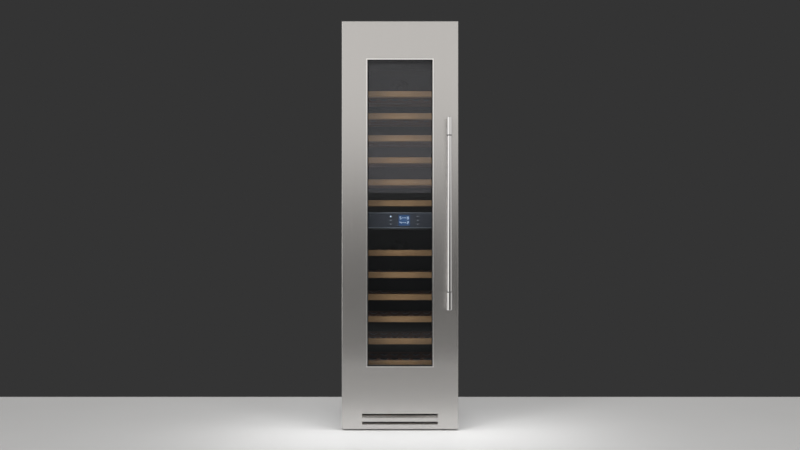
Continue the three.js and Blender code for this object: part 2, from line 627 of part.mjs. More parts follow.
/** Sealed compressor pot on its plate and four rubber mounts, about its own axis. */
function compressor() {
  const [length, width, sheet] = COMPRESSOR.plate;
  const { radius, height } = COMPRESSOR;
  const { height: base, inset, nut } = COMPRESSOR_MOUNT;
  const bottom = base + OVERLAP;
  const wall = POT_PROFILE.map(([r, z]) => [radius * r, bottom + (height - OVERLAP) * z]);
  const pot = turned([[0, bottom], ...wall, [0, base + height]], PLAIN_ROUND);
  const plate = block(both(length / 2), both(width / 2), span(base, sheet));
  const mounts = [];
  for (const x of both(length / 2 - inset)) {
    for (const y of both(width / 2 - inset)) {
      mounts.push(bar("z", [x, y], 0, base + sheet + nut, COMPRESSOR_MOUNT.radius, STEM_ROUND));
    }
  }
  return join(pot, plate, ...mounts);
}

/** Square frame that holds the condenser fan, about the fan's axis, with its front at y = 0. */
function fanBracket() {
  const half = FAN_FRAME.size / 2;
  const plate = block(both(half), [0, FAN_FRAME.thickness], both(half));
  const hole = bar("y", [0, 0], -far, far, ringMiddle(FAN_FRAME.radius), PLAIN_ROUND);
  const foot = block(both(half), [0, FAN_FRAME.foot], span(-half, FAN_FRAME.thickness));
  const carrier = fanCarrier(FAN_FRAME.radius, OVERLAP / 2, FAN_FRAME.collar);
  return join(cut(plate, hole), foot, carrier);
}

function dripTray() {
  const outside = block(both(TRAY.width / 2), [0, TRAY.length], [0, TRAY.height]);
  const hollowY = [TRAY.sheet, TRAY.length - TRAY.sheet];
  return cut(outside, block(both(TRAY.width / 2 - TRAY.sheet), hollowY, [TRAY.sheet, far]));
}

/** Mains inlet: a block set in the back panel, with a recess and three pins for the plug. */
function terminalBox() {
  const half = INLET.width / 2;
  const rise = INLET.height / 2;
  const body = block(both(half), [-INLET.depth, 0], both(rise));
  const flangeY = [-INLET.flange_depth, -SHEET - FIT];
  const flange = block(both(half + INLET.flange), flangeY, both(rise + INLET.flange));
  const floor = INLET.floor - INLET.depth;
  const recess = block(both(half - INLET_RECESS.side), [floor, far], both(rise - INLET_RECESS.rise));
  const pins = [-1, 0, 1].map((column) => {
    const x = span(column * INLET_PIN.pitch - INLET_PIN.width / 2, INLET_PIN.width);
    const z = column ? [-INLET_PIN.height, 0] : [0, INLET_PIN.height];
    return block(x, span(floor - 2 * OVERLAP, INLET_PIN.length), z);
  });
  return join(cut(join(body, flange), recess), ...pins);
}

/** Pipe from the compressor's side to the condenser's upper end, along one smooth bend. */
function dischargePipe() {
  const tubeShare = Math.max(...COIL_TUBE.places);
  const tube = condenserX + CONDENSER.width / 2 + COIL_TUBE.proud + 1;
  const z = condenserBottom + tubeShare * CONDENSER.height + COIL_TUBE.height / 2;
  const y = condenserFront + CONDENSER.depth / 2;
  const start = compressorX - COMPRESSOR.radius - PIPE_GAP;
  const bends = [
    [tube, y, z], [tube + 22, y, z], [tube + 45, y + 25, z + 14], [tube + 50, y + 60, z + 30],
    [start - 30, compressorY - 20, z + 24], [start - 14, compressorY, z + 6], [start, compressorY, z],
  ].map((place) => new THREE.Vector3(...place));
  const extrudePath = new THREE.CatmullRomCurve3(bends, false, "centripetal");
  const section = new THREE.Shape(range(THIN_ROUND).map((i) => {
    const angle = (i / THIN_ROUND) * 2 * Math.PI;
    return new THREE.Vector2(PIPE_RADIUS * Math.cos(angle), PIPE_RADIUS * Math.sin(angle));
  }));
  const options = { steps: PIPE_STEPS, extrudePath, bevelEnabled: false };
  return solid(new THREE.ExtrudeGeometry(section, options));
}

/** Levelling foot: a rubber pad, a nut and a screw. */
function foot() {
  const { radius, pad, chamfer, nut, nut_height: nutHeight, stem, stem_top: stemTop } = FOOT;
  const nutTop = pad + nutHeight;
  return turned([
    [0, 0], [radius - chamfer, 0], [radius, chamfer], [radius, pad - chamfer], [nut, pad],
    [nut, nutTop], [stem, nutTop], [stem, stemTop], [0, stemTop],
  ], STEM_ROUND);
}

// ---------------------------------------------------------------- hinge brackets

function hingeArm(bottom, backEnd) {
  const height = span(bottom, HINGE_ARM.thickness);
  const arm = block([hingeArmLeft, hingeX + HINGE_ARM.half_width], [hingeY, backEnd], height);
  return join(arm, bar("z", [hingeX, hingeY], height[0], height[1], HINGE_ARM.half_width));
}

/** Plate on the cabinet's top with an arm over the door core and a pin down into it. */
function topHinge() {
  const bottom = casingTop + FIT;
  const back = cabinetFront + HINGE_LEAF.length;
  const leafX = span(hingeArmLeft, HINGE_LEAF.width);
  const leaf = block(leafX, [cabinetFront + FIT, back], span(bottom, HINGE_ARM.thickness));
  const pinZ = [coreTop - HINGE_PIN_REACH, bottom + OVERLAP];
  return join(hingeArm(bottom, back), leaf, bar("z", [hingeX, hingeY], ...pinZ, HINGE_PIN_RADIUS));
}

/** Angle on the casing's inner side with an arm under the door core and a pin up into it. */
function bottomHinge() {
  const bottom = CORE_BOTTOM - HINGE_ARM.door_gap - HINGE_ARM.thickness;
  const back = cabinetFront + HINGE_LEAF.length;
  const leafX = span(-insideCasing, HINGE_LEAF.thickness);
  const leafZ = span(panTop + PAN_RIM + HINGE_LEAF.pan_gap, HINGE_LEAF.height);
  const leaf = block(leafX, [cabinetFront + HINGE_LEAF.setback, back], leafZ);
  const inCasing = block([-insideCasing, far], both(far), both(far * 2));
  const pinZ = [bottom + OVERLAP, CORE_BOTTOM + HINGE_PIN_REACH];
  const pin = bar("z", [hingeX, hingeY], ...pinZ, HINGE_PIN_RADIUS);
  return join(join(hingeArm(bottom, back), leaf).intersect(inCasing), pin);
}

// ---------------------------------------------------------------- the cabinet's pieces

piece(cabinet, "outer_casing", outerCasing(), "painted");
piece(cabinet, "back_panel", backPanel(), "galvanised");
piece(cabinet, "base_pan", basePan(), "galvanised");
piece(cabinet, "insulation_foam", insulation(), "foam");
const upperFlange = [upperFloor - LINER_SHEET, insideTop];
const lowerFlange = [foamBottom, lowerCeiling + LINER_SHEET];
piece(cabinet, "upper_liner", liner(upperFloor, upperCeiling, upperFlange, upperFloor), "liner");
piece(cabinet, "lower_liner", liner(lowerFloor, lowerCeiling, lowerFlange, lowerCeiling), "liner");
piece(cabinet, "control_housing", controlHousing(), "liner");
piece(cabinet, "control_fascia", controlFascia(), "plastic");
piece(cabinet, "display_module", displayModule(), "display");
piece(cabinet, "control_board", controlBoard(), "board");
piece(cabinet, "upper_rack", rack(upperLevels, upperFloor, upperCeiling), "painted");
piece(cabinet, "lower_rack", rack(lowerLevels, lowerFloor, lowerCeiling), "painted");
piece(cabinet, "upper_duct_cover", ductCover(upperFloor, upperCeiling), "liner");
piece(cabinet, "lower_duct_cover", ductCover(lowerFloor, lowerCeiling), "liner");

const evaporator = geometryOf(finnedCoil(EVAPORATOR));
const light = geometryOf(lightStrip());
const ductRotor = geometryOf(rotor(DUCT_FAN_RADIUS, rotorThickness));
const coilY = innerBack - EVAPORATOR.depth - COIL_GAP;
const lightY = cabinetFront + LIGHT.behind;
const rotorY = ductFront + OVERLAP + rotorThickness / 2;
for (const [zone, ceiling] of Object.entries({ upper: upperCeiling, lower: lowerCeiling })) {
  const coilZ = ceiling - EVAPORATOR.drop - EVAPORATOR.height;
  piece(cabinet, `${zone}_evaporator`, evaporator, "aluminium", [0, coilY, coilZ]);
  piece(cabinet, `${zone}_light`, light, "lamp", [0, lightY, ceiling - FIT]);
  piece(cabinet, `${zone}_fan`, ductRotor, "plastic", [0, rotorY, ceiling - DUCT_FAN_DROP]);
}

piece(cabinet, "compressor", compressor(), "painted", [compressorX, compressorY, panTop + FIT]);
const condenser = finnedCoil(CONDENSER);
piece(cabinet, "condenser", condenser, "aluminium", [condenserX, condenserFront, condenserBottom]);
piece(cabinet, "discharge_pipe", dischargePipe(), "copper");
piece(cabinet, "fan_bracket", fanBracket(), "galvanised", [condenserX, fanFrameFront, condenserFanZ]);
const condenserRotorThickness = FAN_FRAME.collar - FAN_THINNER;
const condenserRotorY = fanFrameFront + OVERLAP + condenserRotorThickness / 2;
const condenserRotor = rotor(FAN_FRAME.radius, condenserRotorThickness);
piece(cabinet, "condenser_fan", condenserRotor, "plastic", [condenserX, condenserRotorY, condenserFanZ]);
piece(cabinet, "drip_tray", dripTray(), "plastic", [TRAY.x, cabinetBack - TRAY.from_back, panTop + FIT]);
piece(cabinet, "terminal_box", terminalBox(), "plastic", [inletX, cabinetBack, INLET.z]);
piece(cabinet, "top_hinge", topHinge(), "galvanised");
piece(cabinet, "bottom_hinge", bottomHinge(), "galvanised");

const footShape = geometryOf(foot());
for (const [corner, [x, y]] of Object.entries(footPlaces())) {
  piece(cabinet, `foot_${corner}`, footShape, "rubber", [x, y, 0]);
}

const keyShape = geometryOf(key());
for (const [name, place] of Object.entries(keyPlaces())) {
  piece(cabinet, name, keyShape, "plastic", place);
}

const shelfShape = geometryOf(shelf());
for (const [zone, levels] of Object.entries({ upper: upperLevels, lower: lowerLevels })) {
  levels.forEach((level, i) => {
    piece(cabinet, `${zone}_shelf_${i + 1}`, shelfShape, "wood", [0, shelfFront, level]);
  });
}

// ---------------------------------------------------------------- door, with y = 0 at its face

const door = new THREE.Group();
door.position.set(0, doorFront, 0);
cooler.add(door);
const windowSpan = (more) => [windowBottom - more, windowTop + more];

/** Sloping lip behind an air slot, from its lower edge upwards and inwards. */
function ventLip(bottom, rise) {
  const top = bottom + rise;
  const profile = [[0, bottom - SHEET], [VENT_LIP.depth, top - SHEET], [VENT_LIP.depth, top], [0, bottom]];
  return beam(profile, -VENT_LENGTH / 2, VENT_LENGTH / 2);
}

/** Folded sheet: a face with returned edges, a window, air slots and room for the hinge arms. */
function doorPanel() {
  const outside = block(both(doorHalf), [0, SKIN_RETURN], [DOOR_BOTTOM, UNIT_HEIGHT]);
  const insideHeight = [DOOR_BOTTOM + SHEET, UNIT_HEIGHT - SHEET];
  const pan = cut(outside, block(both(doorHalf - SHEET), [SHEET, far], insideHeight));
  const sleeve = TRIM_SLEEVE.thickness + FIT;
  const opening = block(both(windowHalf + sleeve), both(far), windowSpan(sleeve));
  const reliefX = [-far, -doorHalf + SHEET + OVERLAP];
  const { front, margin, top_height: topHeight, bottom_height: bottomHeight } = HINGE_RELIEF;
  const armHeights = [
    span(coreTop - margin, topHeight),
    span(CORE_BOTTOM + margin - bottomHeight, bottomHeight),
  ];
  const reliefs = armHeights.map((height) => block(reliefX, [front, far], height));
  let skin = cut(pan, opening, ...reliefs);
  for (const vent of VENTS) {
    const bottom = DOOR_BOTTOM + vent.rise;
    skin = cut(skin, block(both(VENT_LENGTH / 2), both(far), span(bottom, vent.height)));
    skin = join(skin, ventLip(bottom, vent.height * VENT_LIP.rise_share));
  }
  return skin;
}

const outerGlassFront = TRIM_SLEEVE.depth + FIT;
const innerGlassFront = DOOR_THICKNESS - INNER_GLASS_THICKNESS - FIT;

/** Foam-filled inner frame of the door, rebated on both faces for the glass. */
function doorCore() {
  const side = doorHalf - SHEET - FIT;
  const body = block(both(side), [SHEET + FIT, DOOR_THICKNESS], [CORE_BOTTOM, coreTop]);
  const hole = block(both(windowHalf), both(far), windowSpan(0));
  const lap = GLASS_LAP + FIT;
  const frontDepth = outerGlassFront + OUTER_GLASS_THICKNESS + FIT;
  const front = block(both(windowHalf + lap), [-far, frontDepth], windowSpan(lap));
  const back = block(both(windowHalf + lap), [innerGlassFront - FIT, far], windowSpan(lap));
  const radius = HINGE_PIN_RADIUS + HINGE_HOLE.slack;
  const reach = HINGE_PIN_REACH + HINGE_HOLE.deeper;
  const topHole = bar("z", [hingeX, hingeInDoor], coreTop - reach, far * 4, radius);
  const bottomHole = bar("z", [hingeX, hingeInDoor], -far, CORE_BOTTOM + reach, radius);
  return cut(body, hole, front, back, topHole, bottomHole);
}

/** Bright frame round the window: a flat face and a sleeve through the skin. */
function windowTrim() {
  const front = -TRIM_PROUD - FIT;
  const flange = block(both(windowHalf + TRIM_WIDTH), [front, -FIT], windowSpan(TRIM_WIDTH));
  const sleeve = TRIM_SLEEVE.thickness;
  const body = block(both(windowHalf + sleeve), [-FIT - OVERLAP / 2, TRIM_SLEEVE.depth], windowSpan(sleeve));
  return cut(join(flange, body), block(both(windowHalf), both(far), windowSpan(0)));
}

function pane(front, thickness) {
  return block(both(windowHalf + GLASS_LAP), span(front, thickness), windowSpan(GLASS_LAP));
}

function doorGasket() {
  const half = doorHalf - GASKET.inset;
  const height = [GASKET.bottom, UNIT_HEIGHT - GASKET.top_drop];
  const depth = [DOOR_THICKNESS + FIT, DOOR_THICKNESS + DOOR_GAP - FIT];
  const inner = [height[0] + GASKET.width, height[1] - GASKET.width];
  return cut(block(both(half), depth, height), block(both(half - GASKET.width), both(far), inner));
}

/** Round bar with a thicker end at each side of a turned groove, about its own axis. */
function handleBar() {
  const half = HANDLE_LENGTH / 2;
  const end = half - HANDLE_END_LENGTH;
  const groove = end - HANDLE_GROOVE.width;
  const upper = [
    [HANDLE_RADIUS, groove], [HANDLE_GROOVE.radius, groove], [HANDLE_GROOVE.radius, end],
    [HANDLE_END_RADIUS, end], [HANDLE_END_RADIUS, half - HANDLE_CHAMFER],
    [HANDLE_END_RADIUS - HANDLE_CHAMFER, half], [0, half],
  ];
  const lower = upper.map(([r, z]) => [r, -z]).reverse();
  return turned([...lower, ...upper]);
}

/** Post between the handle and the door, shaped to the bar it carries, with y = 0 at the door's face. */
function handlePost() {
  const { radius, foot_radius: footRadius, foot: footDepth } = HANDLE_POST;
  const post = bar("y", [0, 0], -HANDLE_AXIS_OUT, -FIT, radius, PLAIN_ROUND);
  const base = bar("y", [0, 0], -FIT - footDepth, -FIT, footRadius, PLAIN_ROUND);
  return cut(join(post, base), bar("z", [0, -HANDLE_AXIS_OUT], -far, far, HANDLE_END_RADIUS + FIT));
}

piece(door, "door_panel", doorPanel(), "steel");
piece(door, "door_core", doorCore(), "liner");
piece(door, "window_trim", windowTrim(), "polished");
piece(door, "outer_glass", pane(outerGlassFront, OUTER_GLASS_THICKNESS), "glass");
piece(door, "inner_glass", pane(innerGlassFront, INNER_GLASS_THICKNESS), "glass");
piece(door, "door_gasket", doorGasket(), "rubber");

piece(door, "handle_bar", handleBar(), "polished", [handleX, -HANDLE_AXIS_OUT, HANDLE_MIDDLE]);
const postShape = geometryOf(handlePost());
const postRise = HANDLE_LENGTH / 2 - HANDLE_POST.from_end;
piece(door, "handle_post_upper", postShape, "polished", [handleX, 0, HANDLE_MIDDLE + postRise]);
piece(door, "handle_post_lower", postShape, "polished", [handleX, 0, HANDLE_MIDDLE - postRise]);

export default cooler;
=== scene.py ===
"""Looks of a tall column wine cooler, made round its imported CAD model.

The file is laid out as an add-on: two property groups hold the sizes and colours, one operator makes
each group of pieces, and a panel lists them. Everything is in metres, with +Z up and the front facing -Y.
"""

import math

import bmesh
import bpy
import numpy as np
from bpy.props import FloatProperty, FloatVectorProperty, IntProperty, PointerProperty
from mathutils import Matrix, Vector


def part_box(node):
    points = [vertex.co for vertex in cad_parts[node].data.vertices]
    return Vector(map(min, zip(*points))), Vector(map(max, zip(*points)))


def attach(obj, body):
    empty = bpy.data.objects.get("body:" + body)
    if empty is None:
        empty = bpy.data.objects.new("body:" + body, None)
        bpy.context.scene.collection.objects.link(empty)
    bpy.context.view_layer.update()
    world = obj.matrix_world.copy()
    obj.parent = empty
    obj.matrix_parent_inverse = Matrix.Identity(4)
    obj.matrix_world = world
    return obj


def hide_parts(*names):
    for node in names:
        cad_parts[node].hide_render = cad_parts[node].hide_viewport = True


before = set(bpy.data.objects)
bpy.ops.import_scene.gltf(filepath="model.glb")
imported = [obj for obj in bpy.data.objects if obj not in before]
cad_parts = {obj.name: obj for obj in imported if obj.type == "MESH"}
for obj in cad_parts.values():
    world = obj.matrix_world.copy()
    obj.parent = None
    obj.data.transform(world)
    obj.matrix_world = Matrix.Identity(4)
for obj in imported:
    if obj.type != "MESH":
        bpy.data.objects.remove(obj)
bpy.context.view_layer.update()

bl_info = {
    "name": "Column Wine Cooler",
    "version": (1, 0, 0),
    "blender": (4, 5, 0),
    "location": "3D View > Sidebar > Cooler",
    "description": "Makes the visible pieces, finishes and studio of a tall wine cooler",
    "category": "Object",
}

MM = 0.001
MERGE = 1e-6  # points closer than this become one
HOLD = 0.0004  # from a sheet's edge to the line that holds its corner flat
FIT = 0.0003  # gap between pieces that meet
SHARP = 35.0  # degrees between faces past which an edge isn't smoothed
GROW = np.array([-1.0, 1.0, -1.0, 1.0])  # moves all four edges of an outline outwards
ZONES = ("upper", "lower")
SHELVES = range(1, 7)
KEYS = [(side, row) for side in ("left", "right") for row in ("top", "middle", "bottom")]
FEET = ("front_left", "front_right", "rear_left", "rear_right")


# ---------------------------------------------------------------- places in the frame


def node_box(name):
    """Lowest and highest corner of a CAD node, as two numpy arrays."""
    low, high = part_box(name)
    return np.array(low), np.array(high)


def middle_of(name):
    """Middle of a CAD node's box."""
    low, high = node_box(name)
    return (low + high) / 2


def face_of(name):
    """A CAD node's front outline as (x0, x1, z0, z1)."""
    low, high = node_box(name)
    return np.array([low[0], high[0], low[2], high[2]])


def around(place, half_width, half_height):
    """Outline (x0, x1, z0, z1) about the middle of a place (x, y, z)."""
    x, _, z = place
    return np.array([x - half_width, x + half_width, z - half_height, z + half_height])


# ---------------------------------------------------------------- surfaces as whole arrays


def quarter(steps):
    """Angles from 0 to a quarter turn."""
    return np.linspace(0, math.pi / 2, steps + 1)


def circle(count, radius=1.0):
    """Points (u, v) round a circle: (r cos a, r sin a)."""
    angle = np.arange(count) * 2 * math.pi / count
    return radius * np.stack([np.cos(angle), np.sin(angle)], -1)


def rolled_edge(low, high, edge, steps):
    """A solid's rounded rims: its outline draws in by edge (1 - sin t) at edge (1 - cos t) from each end."""
    t = quarter(steps)
    shrink, rise = edge * (1 - np.sin(t)), edge * (1 - np.cos(t))
    return np.r_[shrink, shrink[::-1]], np.r_[low + rise, high - rise[::-1]]


def grid_faces(rows, columns, wrap_rows=False, wrap_columns=False):
    """Four-sided faces of a grid of points numbered row by row; a wrapped side joins its ends."""
    r = np.arange(rows if wrap_rows else rows - 1)[:, None]
    c = np.arange(columns if wrap_columns else columns - 1)[None, :]
    next_r, next_c = (r + 1) % rows, (c + 1) % columns
    corners = [r * columns + c, r * columns + next_c, next_r * columns + next_c, next_r * columns + c]
    return np.stack(np.broadcast_arrays(*corners), -1).reshape(-1, 4).tolist()


def gather(*surfaces):
    """Several surfaces as one: their points in one array, and each surface's faces renumbered."""
    points, faces, start = [], [], 0
    for these, polygons in surfaces:
        points.append(these)
        faces += [[i + start for i in polygon] for polygon in polygons]
        start += len(these)
    return np.concatenate(points), faces


def loft(rings, closed_ring=True, closed_path=False, caps=False):
    """Rings of points, one after another, joined point to point: rings[i, j] is point j of ring i."""
    rows, columns = rings.shape[:2]
    faces = grid_faces(rows, columns, closed_path, closed_ring)
    if caps:
        last = (rows - 1) * columns
        faces += [list(range(columns)), list(range(last, last + columns))]
    return rings.reshape(-1, 3), faces


def nested_rings(outlines, depths, across=(0.0, 1.0), upward=(0.0, 1.0), closed_path=False):
    """Rectangles (x0, x1, z0, z1) at their own depths in Y, joined edge to edge.

    A point keeps its shares (a, b) of the width and height on every rectangle:
    x = x0 + a (x1 - x0), z = z0 + b (z1 - z0), with (a, b) running once round the edge."""
    a, b = np.asarray(across, float), np.asarray(upward, float)
    shares = np.concatenate([
        np.stack([a[:-1], np.zeros(len(a) - 1)], 1),
        np.stack([np.ones(len(b) - 1), b[:-1]], 1),
        np.stack([a[:0:-1], np.ones(len(a) - 1)], 1),
        np.stack([np.zeros(len(b) - 1), b[:0:-1]], 1),
    ])
    o = np.asarray(outlines, float)
    x = o[:, 0:1] + shares[None, :, 0] * (o[:, 1:2] - o[:, 0:1])
    z = o[:, 2:3] + shares[None, :, 1] * (o[:, 3:4] - o[:, 2:3])
    y = np.broadcast_to(np.asarray(depths, float)[:, None], x.shape)
    return loft(np.stack([x, y, z], -1), True, closed_path)


def framed(outline, profile):
    """A closed profile of (outward, y) carried round a rectangle with mitred corners."""
    p = np.asarray(profile, float)
    return nested_rings(outline + p[:, :1] * GROW, p[:, 1], closed_path=True)


def round_corners(outline, radius, steps):
    """Corner centres and outward directions of a rectangle with round corners, in order round it."""
    x0, x1, z0, z1 = outline
    centres = np.array([[x1 - radius, z1 - radius], [x0 + radius, z1 - radius],
                        [x0 + radius, z0 + radius], [x1 - radius, z0 + radius]])
    angle = quarter(steps)[None] + np.arange(4)[:, None] * math.pi / 2
    ways = np.stack([np.cos(angle), np.sin(angle)], -1).reshape(-1, 2)
    return np.repeat(centres, steps + 1, 0), ways


def in_space(flat, depth, axis):
    """Points (u, v) at a depth along axis 0, 1 or 2 as points (x, y, z)."""
    u, v, d = np.broadcast_arrays(flat[..., 0], flat[..., 1], depth)
    order = {0: (d, u, v), 1: (u, d, v), 2: (u, v, d)}[axis]
    return np.stack(order, -1)


def soft_block(low, high, edge, axis=1, corner=None, steps=2):
    """Block with rounded edges between two corners.

    Its outline across the axis has round corners, and each end closes along a quarter circle."""
    low, high = np.asarray(low, float), np.asarray(high, float)
    u, v = [k for k in range(3) if k != axis]
    corner = edge if corner is None else corner
    centres, ways = round_corners((low[u], high[u], low[v], high[v]), corner, steps)
    shrink, depth = rolled_edge(low[axis], high[axis], edge, steps)
    flat = centres[None] + (corner - shrink)[:, None, None] * ways[None]
    return loft(in_space(flat, depth[:, None], axis), caps=True)


def soft_blocks(boxes, edge, axis=1, steps=1):
    """Many rounded blocks as one surface."""
    return gather(*[soft_block(low, high, edge, axis, steps=steps) for low, high in boxes])


def soft_slab(outline, low, high, edge, axis=1, steps=2):
    """Any flat outline carried along an axis; at its rims each point draws in along its normal."""
    p = np.asarray(outline, float)
    along = np.roll(p, -1, 0) - np.roll(p, 1, 0)
    normal = np.stack([along[:, 1], -along[:, 0]], 1)
    normal /= np.linalg.norm(normal, axis=1, keepdims=True)
    turn = np.sum(p[:, 0] * np.roll(p[:, 1], -1) - np.roll(p[:, 0], -1) * p[:, 1])
    normal *= np.sign(turn)
    shrink, depth = rolled_edge(low, high, edge, steps)
    flat = p[None] - shrink[:, None, None] * normal[None]
    return loft(in_space(flat, depth[:, None], axis), caps=True)


def soft_slabs(outlines, low, high, edge):
    """Many thin slabs across Y as one surface."""
    return gather(*[soft_slab(outline, low, high, edge, steps=1) for outline in outlines])


def turned(profile, centre, axis=2, sides=48):
    """Profile of (radius, height) turned about an axis: a circle of each radius at each height."""
    p = np.asarray(profile, float)
    rings = in_space(p[:, 0, None, None] * circle(sides)[None], p[:, 1, None], axis)
    return loft(rings + np.asarray(centre, float), caps=True)


def softened(profile, radius, steps=3):
    """A (radius, height) profile with each inner corner replaced by a short quadratic curve."""
    p = np.asarray(profile, float)
    here, ends = p[1:-1], []
    for away in (p[:-2] - here, p[2:] - here):
        span = np.linalg.norm(away, axis=1, keepdims=True)
        ends.append(here + away / span * np.minimum(radius, span * 0.45))
    start, end = ends
    t = np.linspace(0, 1, steps + 1)[None, :, None]
    bend = (1 - t) ** 2 * start[:, None] + 2 * t * (1 - t) * here[:, None] + t**2 * end[:, None]
    return np.concatenate([p[:1], bend.reshape(-1, 2), p[-1:]])


def tube(path, radius, sides=10, closed=False, up=(0, 0, 1)):
    """Round tube along a path: a circle across the path's direction at every point."""
    p = np.asarray(path, float)
    ahead = np.roll(p, -1, 0) - np.roll(p, 1, 0)
    if not closed:
        ahead[0], ahead[-1] = p[1] - p[0], p[-1] - p[-2]
    ahead /= np.linalg.norm(ahead, axis=1, keepdims=True)
    side = np.cross(ahead, np.asarray(up, float))
    side /= np.linalg.norm(side, axis=1, keepdims=True)
    over = np.cross(side, ahead)
    u, v = circle(sides).T
    ring = u[None, :, None] * side[:, None] + v[None, :, None] * over[:, None]
    return loft(p[:, None] + radius * ring, True, closed, caps=not closed)


def smooth_path(places, count):
    """A curve through the places, sampled at count points: Catmull-Rom pieces between neighbours."""
    p = np.asarray(places, float)
    padded = np.concatenate([2 * p[:1] - p[1:2], p, 2 * p[-1:] - p[-2:-1]])
    s = np.linspace(0, len(p) - 1 - 1e-9, count)
    i = s.astype(int)
    t = (s - i)[:, None]
    a, b, c, d = (padded[i + k] for k in range(4))
    bend, twist = 2 * a - 5 * b + 4 * c - d, 3 * b - a - 3 * c + d
    return 0.5 * (2 * b + (c - a) * t + bend * t**2 + twist * t**3)


def pierced_sheet(outline, openings, y, lines_x=(), lines_z=()):
    """Flat sheet in X and Z at depth y: a grid with lines along the openings' edges, without their cells.

    A second line runs HOLD away from each edge, so that the wide cells stay flat up to their corners.
    Returns the surface and the grid's lines."""
    o = np.asarray(openings, float).reshape(-1, 4)
    held = np.concatenate([[outline - HOLD * GROW], o + HOLD * GROW])
    xs = np.unique(np.round(np.r_[outline[:2], o[:, :2].ravel(), held[:, :2].ravel(), lines_x], 7))
    zs = np.unique(np.round(np.r_[outline[2:], o[:, 2:].ravel(), held[:, 2:].ravel(), lines_z], 7))
    grid = np.stack(np.meshgrid(xs, [y], zs, indexing="ij"), -1)[:, 0]
    faces = np.array(grid_faces(len(xs), len(zs)))
    flat = grid.reshape(-1, 3)
    centre = flat[faces].mean(1)
    inside = np.zeros(len(faces), bool)
    for x0, x1, z0, z1 in o:
        inside |= (centre[:, 0] > x0) & (centre[:, 0] < x1) & (centre[:, 2] > z0) & (centre[:, 2] < z1)
    return (flat, faces[~inside].tolist()), xs, zs


def shares_of(lines, low, high):
    """Where the grid lines from low to high lie, as shares of that stretch."""
    kept = lines[(lines >= low - 1e-7) & (lines <= high + 1e-7)]
    return (kept - low) / (high - low)


def without(surface, boxes):
    """A surface without the faces whose middles lie in any of the boxes (low, high)."""
    points, faces = surface
    middles = np.array([points[face].mean(0) for face in faces])
    gone = np.zeros(len(faces), bool)
    for low, high in boxes:
        gone |= np.all((middles > low) & (middles < high), 1)
    return points, [face for face, drop in zip(faces, gone) if not drop]


def screw_head(centre, radius, axis=1, out=-1.0):
    """Pan-head screw with a sunk middle; out is the way it faces, and below 1 it is flatter."""
    height = 0.45 * radius
    profile = [(0.0, 0.4 * height), (0.35 * radius, 0.45 * height), (0.45 * radius, height),
               (0.8 * radius, 0.85 * height), (radius, 0.4 * height), (radius, 0.0), (0.0, -0.1 * height)]
    p = np.array(profile) * [1, out]
    return turned(p, centre, axis, 12)


# ---------------------------------------------------------------- putting a surface into the model


def put_in(name, data):
    """A new object in the scene."""
    thing = bpy.data.objects.new(name, data)
    bpy.context.scene.collection.objects.link(thing)
    return thing


def make_piece(name, surface, material, body, replaces=(), wall=0.0):
    """Makes a mesh object from a surface, and says what it rides on and what it stands for.

    Its seams are closed."""
    points, faces = surface
    mesh = bpy.data.meshes.new(name)
    mesh.from_pydata(points.tolist(), [], faces)
    form = bmesh.new()
    form.from_mesh(mesh)
    bmesh.ops.remove_doubles(form, verts=form.verts, dist=MERGE)
    bmesh.ops.dissolve_degenerate(form, edges=form.edges, dist=MERGE)
    bmesh.ops.recalc_face_normals(form, faces=form.faces)
    form.to_mesh(mesh)
    form.free()
    mesh.polygons.foreach_set("use_smooth", np.ones(len(mesh.polygons), bool))
    mesh.set_sharp_from_angle(angle=math.radians(SHARP))
    mesh.materials.append(finish(material))
    piece = put_in(name, mesh)
    if wall:
        thick = piece.modifiers.new("wall", "SOLIDIFY")
        thick.thickness, thick.offset = wall, -1.0
    even = piece.modifiers.new("even_shading", "WEIGHTED_NORMAL")
    even.keep_sharp = True
    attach(piece, body)
    if replaces:
        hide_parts(*replaces)


def repaint(material, *nodes):
    """Gives CAD nodes that stay one of the finishes."""
    for node in nodes:
        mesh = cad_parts[node].data
        mesh.materials.clear()
        mesh.materials.append(finish(material))


# ---------------------------------------------------------------- shared shader effects


